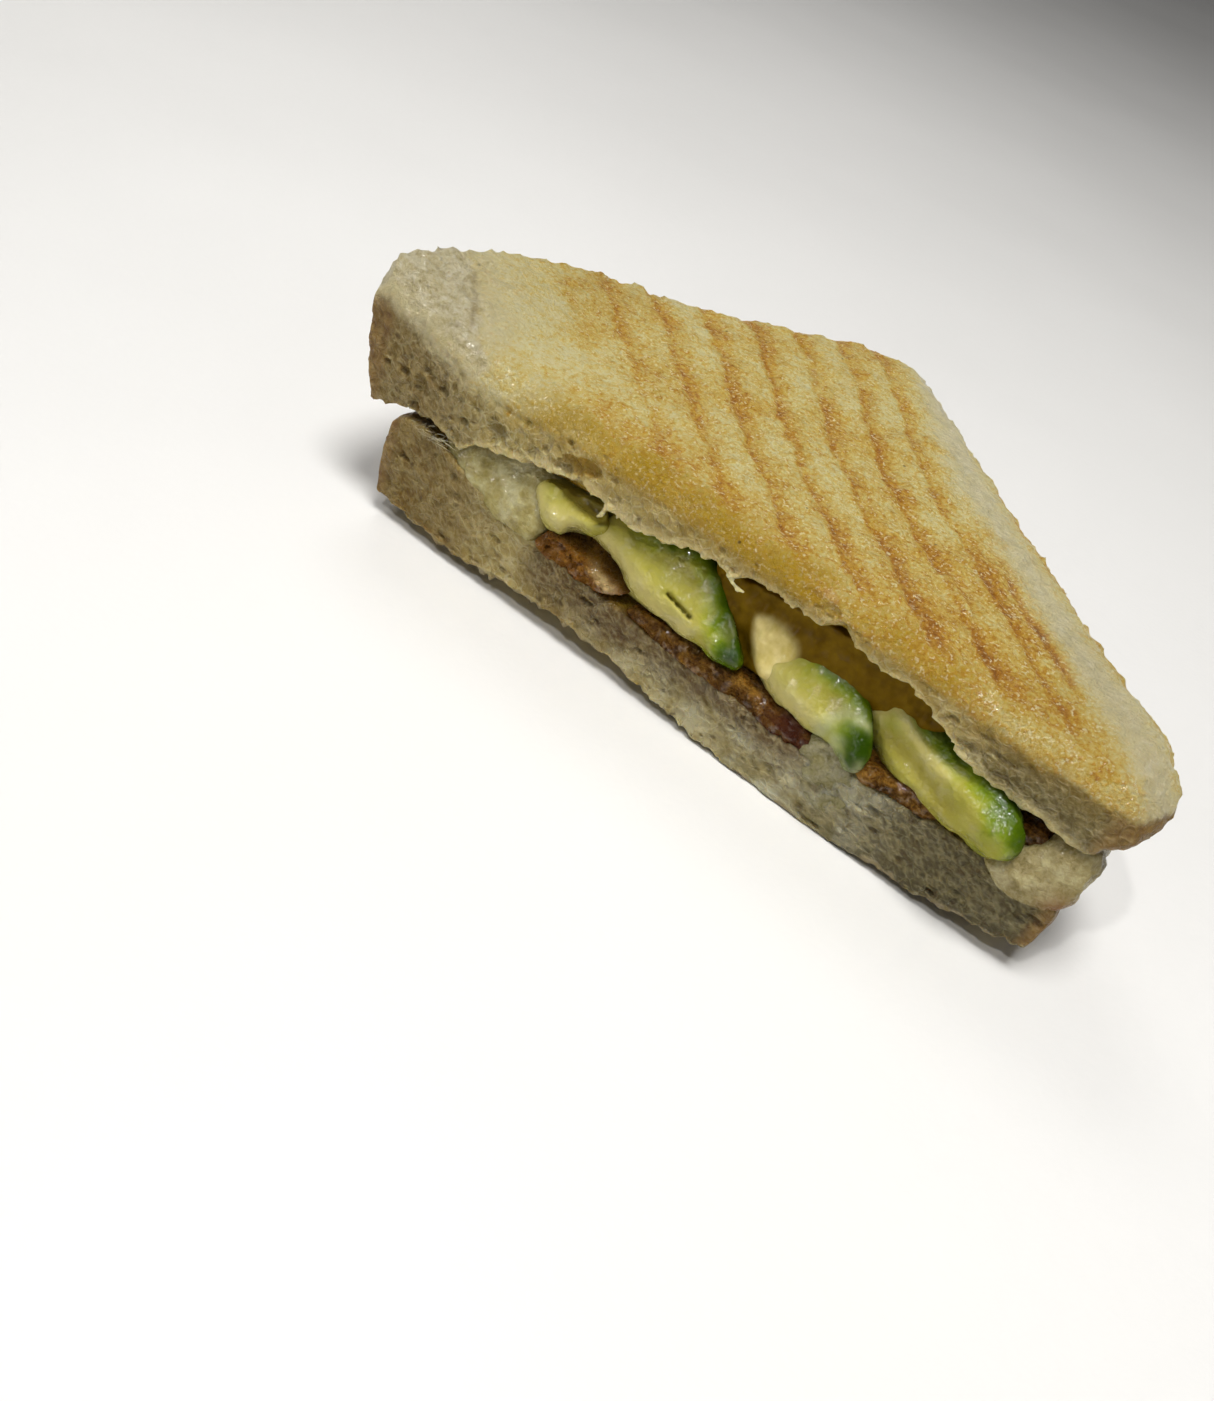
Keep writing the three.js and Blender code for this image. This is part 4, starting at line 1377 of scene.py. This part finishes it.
def toast_colour(s, p):
    browned, line, halo, butter = s.attributes("browned", "line", "halo", "butter")
    white, crack, ends, foot = s.attributes("white", "crack", "ends", "foot")
    level = browned + (p.grain - 0.5) + (p.fleck - 0.5) * 0.7 + (p.cloud - 0.5) * 0.3
    level = level + (p.flakes - 0.4) * 0.3 + halo * 0.22 + line * 0.3
    toast = s.ramp(
        level,
        (0.0, (242, 230, 176)),
        (0.22, (234, 214, 136)),
        (0.42, (224, 188, 84)),
        (0.6, (208, 154, 44)),
        (0.8, (184, 120, 24)),
        (1.0, (150, 92, 16)),
    )
    pale = s.ramp(
        p.fleck * 0.6 + p.grain * 0.4,
        (0.36, (196, 180, 130)),
        (0.5, (224, 212, 170)),
        (0.64, (242, 234, 206)),
    )
    # painted highlights: near-white specks that stand in for glints on the toast
    painted_sparkles = s.fit(s.noise(0.5, 1, 0.5), 0.55, 0.68) * s.fit(p.fleck, 0.4, 0.6, 0.3, 1.0)
    burnt = s.fit(s.cells(7.0), 0.02, 0.05, 1.0, 0.0)
    return s.tint(
        toast,
        (butter * 0.85, (182, 144, 14)),
        (painted_sparkles * s.clamp(0.8 - butter * 0.4), (254, 242, 190)),
        (burnt * 0.7, (70, 40, 10)),
        (white, pale),
        (crack * 0.6, (136, 112, 66)),
        # painted shade on the toast towards the ends
        (ends * 0.14, (150, 120, 50)),
        (foot * 0.7, (132, 112, 60)),
    )


def crumb_colour(s, p):
    ends, drawn, tan, damp, stain = s.attributes("ends", "drawn", "tan", "damp", "stain")
    cell, wall, pore_shade, lip, glow = s.attributes("cell", "wall", "pore_shade", "lip", "glow")
    fibre, hole, crust, inner = s.attributes("fibre", "hole", "crust", "inner")
    level = p.soft * 0.45 + p.cloud * 0.55
    crumb = s.ramp(level, (0.36, (146, 126, 66)), (0.5, (168, 149, 88)), (0.64, (188, 172, 114)))
    wetness = s.ramp(p.cloud, (0.38, (128, 120, 84)), (0.58, (184, 182, 160)))
    rind = s.ramp(level, (0.36, (106, 76, 38)), (0.5, (134, 108, 62)), (0.66, (164, 142, 96)))
    soaked = s.ramp(p.cloud, (0.35, (122, 88, 8)), (0.65, (168, 134, 34)))
    threads = s.larger(s.fit(p.weave, 0.54, 0.72, 0.0, 0.5), p.web * 0.3)
    # the threads fade under the painted shade at the ends too
    threads = threads * (1 - stain * 0.75) * (1 - ends * 0.35)
    return s.tint(
        crumb,
        # painted light on the net of crumb walls
        (p.web * 0.6, (212, 200, 154)),
        # painted shade on the crumb towards the ends
        (s.clamp(ends * 0.8), s.mix(drawn, (102, 78, 36), (66, 60, 38))),
        (tan * 0.85, (98, 70, 4)),
        (damp * 0.75, wetness),
        (stain * 0.9, (72, 42, 2)),
        (threads, s.mix(tan, (212, 198, 150), (186, 158, 78))),
        (s.fit(p.weave, 0.28, 0.44, 0.1, 0.0), (66, 50, 18)),
        # painted shade in the cell hollows, then painted light on the cell walls
        (cell * 0.36, (92, 72, 26)),
        (wall * 0.3, (198, 184, 134)),
        # painted shade in the pores
        (p.shaded_pits * 0.6, (72, 52, 18)),
        (fibre, (170, 152, 104)),
        # painted shade, darker and browner deeper in the pores
        (s.fit(pore_shade, 0.3, 1.0, 0.0, 0.5), (104, 80, 28)),
        (lip * 0.65, (224, 208, 150)),
        (glow * 0.75, (166, 130, 30)),
        (hole * 0.85, (164, 130, 46)),
        (crust, rind),
        (inner * 0.85, soaked),
    )


def bread_material():
    s = Shader("toasted_bread")
    p = bread_patterns(s)
    skin, butter, inner, lip = s.attributes("skin", "butter", "inner", "lip")
    toasted = s.fit(skin + (p.fleck - 0.5) * 0.8, 0.05, 0.95)
    moist = s.larger(inner, s.larger(lip, butter))
    toast_relief = p.fleck + p.flakes * 0.5 + p.grain * 2.4
    crumb_relief = p.soft + p.weave * 0.6 + p.web * 0.6 - p.shaded_pits * 0.9
    film = s.fit(s.noise(2.8, 2), 0.46, 0.62) * (toasted * 0.3 + 0.08)
    dripping = s.larger(inner, lip) * 0.5
    s.glisten(s.larger(dripping, s.clamp(film - butter * 0.25)), 0.9, 0.45)
    return s.finish(
        s.mix(toasted, crumb_colour(s, p), toast_colour(s, p)),
        s.fit(p.fleck + p.grain * 0.5, 0.6, 0.95, 0.28, 0.6) - moist * 0.14,
        s.bump(crumb_relief + toasted * (toast_relief - crumb_relief), 0.6),
        Specular_IOR_Level=toasted * 0.25 + 0.12,
        Subsurface_Weight=0.75 - toasted * 0.6,
        Subsurface_Scale=0.0025,
        Subsurface_Radius=(1.0, 0.8, 0.4),
    )


# ---------------------------------------------------------------- filling materials


def avocado_material():
    s = Shader("ripe_avocado")
    green, rim, cream, smear = s.attributes("green", "rim", "cream", "smear")
    valley_shade, veil = s.attributes("valley_shade", "veil")
    grain = s.noise(0.8, 3, 0.6)
    flesh = s.ramp(
        green + (s.noise(4, 3, 0.6) - 0.5) * 0.25 + (grain - 0.5) * 0.1,
        (0.0, (164, 156, 68)),
        (0.25, (144, 148, 42)),
        (0.5, (110, 128, 20)),
        (0.75, (72, 94, 6)),
        (1.0, (38, 62, 3)),
    )
    colour = s.tint(
        flesh,
        (cream * 0.7, (196, 182, 116)),
        (smear * 0.15, (192, 184, 110)),
        # painted shade in the valley, in brown
        (valley_shade, (122, 98, 24)),
        (veil * 0.65, (176, 178, 132)),
        # painted shade along the skin-side edge under the bread
        (rim * 0.6, (72, 78, 8)),
    )
    s.glisten(s.fit(s.noise(2.2, 2), 0.48, 0.62, 0.0, 0.7), 1.0, 0.7)
    return s.finish(
        colour,
        s.fit(grain, 0.3, 0.7, 0.14, 0.3),
        s.bump(s.noise(2.2, 2) * 1.6 + grain * 0.5, 0.35),
        Subsurface_Weight=0.2,
        Subsurface_Scale=0.002,
        Subsurface_Radius=(0.8, 1.0, 0.2),
        Specular_IOR_Level=0.07,
    )


def cheese_material():
    s = Shader("melted_cheese")
    right, crumbly, tan = s.attributes("right", "crumbly", "tan")
    cloud = s.noise(3.5, 3, 0.6)
    grain = s.noise(0.7, 3, 0.6, 0.5)
    melted = s.ramp(cloud, (0.36, (140, 126, 68)), (0.5, (164, 152, 96)), (0.64, (186, 178, 132)))
    crusty = s.ramp(
        grain * 0.4 + cloud * 0.6,
        (0.38, (128, 114, 74)),
        (0.5, (158, 144, 102)),
        (0.62, (184, 172, 128)),
    )
    veiled = s.ramp(grain, (0.3, (100, 94, 58)), (0.7, (142, 136, 98)))
    film = s.clamp(s.fit(s.noise(2.6, 2), 0.44, 0.6, 0.0, 0.9) - right * 0.5)
    s.glisten(film, 1.2, 0.8)
    return s.finish(
        s.tint(melted, (right * 0.75, crusty), (crumbly * 0.75, veiled), (tan, (130, 92, 52))),
        s.fit(grain, 0.4, 0.6, 0.15, 0.35),
        s.bump(s.noise(1.8, 2) * 1.6 + grain, 0.4),
        Subsurface_Weight=0.4,
        Subsurface_Scale=0.003,
        Subsurface_Radius=(1.0, 0.9, 0.6),
        Specular_IOR_Level=0.12,
    )


def bacon_material():
    s = Shader("fried_bacon")
    fat, red, light, bits, cave = s.attributes("fat", "red", "light", "bits", "cave")
    grain = s.noise(0.7, 3, 0.65)
    cloud = s.noise(2.6, 3, 0.6)
    lean = s.ramp(
        grain * 0.5 + cloud * 0.5,
        (0.4, (64, 38, 4)),
        (0.5, (96, 62, 12)),
        (0.62, (142, 102, 36)),
    )
    colour = s.tint(
        lean,
        (light * 0.45, (132, 84, 24)),
        (red * 0.85, (66, 22, 4)),
        (fat * 0.15, (170, 130, 60)),
        (bits, (190, 164, 112)),
        # dark brown in the cave: bacon colour with painted shade of the cavity
        (cave, s.ramp(cloud, (0.35, (66, 42, 3)), (0.65, (96, 66, 10)))),
    )
    s.glisten((1 - cave) * s.fit(s.noise(1.4, 2), 0.5, 0.62, 0.0, 0.9), 0.9, 0.6)
    return s.finish(
        colour,
        s.fit(grain, 0.4, 0.6, 0.25, 0.5),
        s.bump(cloud * 1.2 + grain, 0.9),
        Subsurface_Weight=0.1,
        Subsurface_Scale=0.002,
        Subsurface_Radius=(1.0, 0.4, 0.1),
        Specular_IOR_Level=0.06,
    )


def sauce_material():
    s = Shader("creamy_sauce")
    deep = s.attribute("deep")
    cloud = s.noise(3, 3, 0.6)
    creamy = s.ramp(cloud, (0.36, (204, 184, 104)), (0.64, (228, 210, 142)))
    # sauce colour darkened with painted shade, for the wall and the sauce deep behind the cut
    shaded_amber = s.ramp(cloud, (0.3, (96, 70, 4)), (0.7, (124, 96, 12)))
    s.glisten(s.fit(deep, 0.0, 1.0, 0.3, 0.0), 1.0, 0.5)
    return s.finish(
        s.mix(deep, creamy, shaded_amber),
        s.fit(cloud, 0.3, 0.7, 0.3, 0.45),
        s.bump(s.noise(1.0, 3), 0.15),
        Subsurface_Weight=0.3,
        Subsurface_Scale=0.002,
        Subsurface_Radius=(1.0, 0.8, 0.4),
        Specular_IOR_Level=0.03,
    )


# ---------------------------------------------------------------- stage, lights and camera

CAMERA_AZIMUTH = math.radians(20.899)
CAMERA_ELEVATION = math.radians(38.873)
CAMERA_ROLL = math.radians(22.996)
CAMERA_PLACE = np.array([59.208, -153.408, 128.942])
LENS, SENSOR_WIDTH = 33.562, 36
FLOOR_REACH = 4.0


def add_camera():
    az, el, roll = CAMERA_AZIMUTH, CAMERA_ELEVATION, CAMERA_ROLL
    forward = Vector((-math.sin(az) * math.cos(el), math.cos(az) * math.cos(el), -math.sin(el)))
    level = Vector((math.cos(az), math.sin(az), 0))
    upright = level.cross(forward)
    right = level * math.cos(roll) + upright * math.sin(roll)
    up = right.cross(forward)
    data = bpy.data.cameras.new("camera")
    data.lens = LENS
    data.sensor_width = SENSOR_WIDTH
    data.clip_start = 0.01
    camera = bpy.data.objects.new("camera", data)
    turn = Matrix((right, up, -forward)).transposed()
    camera.matrix_world = Matrix.Translation((CAMERA_PLACE + ORIGIN) * MM) @ turn.to_4x4()
    bpy.context.scene.collection.objects.link(camera)
    bpy.context.scene.camera = camera


def add_area_light(name, place, size, power, glints_only=False):
    data = bpy.data.lights.new(name, "AREA")
    data.shape = "DISK"
    data.size = size
    data.energy = power
    light = bpy.data.objects.new(name, data)
    light.visible_diffuse = not glints_only
    aim = Vector(place).to_track_quat("Z", "Y").to_matrix().to_4x4()
    light.matrix_world = Matrix.Translation(place) @ aim
    bpy.context.scene.collection.objects.link(light)


def add_stage():
    s = Shader("floor")
    cloud = s.noise(140, 3)
    colour = s.ramp(cloud, (0.3, (222, 220, 216)), (0.7, (228, 226, 222)))
    material = s.finish(colour, s.fit(s.noise(3, 2), 0.3, 0.7, 0.6, 0.7), s.bump(s.noise(1.2, 3), 0.05))
    mesh = bpy.data.meshes.new("floor")
    corners = [(x * FLOOR_REACH, y * FLOOR_REACH, 0) for x, y in ((-1, -1), (1, -1), (1, 1), (-1, 1))]
    mesh.from_pydata(corners, [], [(0, 1, 2, 3)])
    mesh.materials.append(material)
    floor = bpy.data.objects.new("floor", mesh)
    bpy.context.scene.collection.objects.link(floor)


def add_lights():
    world = bpy.data.worlds.new("studio")
    world.use_nodes = True
    background = world.node_tree.nodes["Background"]
    background.inputs["Color"].default_value = (1, 1, 1, 1)
    background.inputs["Strength"].default_value = 0.12
    bpy.context.scene.world = world
    add_area_light("key", (0.06, -0.16, 0.74), 0.26, 5.2)
    add_area_light("spark", (-0.05, -0.42, 0.60), 0.03, 1.1)
    add_area_light("fill", (-0.35, 0.25, 0.6), 0.3, 0.9)
    add_area_light("high_glints", (0.04, -0.34, 0.66), 0.05, 3.6, glints_only=True)
    add_area_light("low_glints", (-0.12, -0.56, 0.14), 0.03, 1.8, glints_only=True)


# ---------------------------------------------------------------- build

add_camera()
add_stage()
add_lights()
bread = bread_material()
build_upper(bread)
build_lower(bread)
avocado = avocado_material()
for number, (name, spec) in enumerate(AVOCADOS.items()):
    build_avocado(name, spec, number, avocado)
build_cheese(cheese_material())
bacon = bacon_material()
for number, (name, spec) in enumerate(BACON.items()):
    build_bacon(name, spec, number, bacon)
build_sauce(sauce_material())
bpy.context.scene.view_settings.view_transform = "Standard"
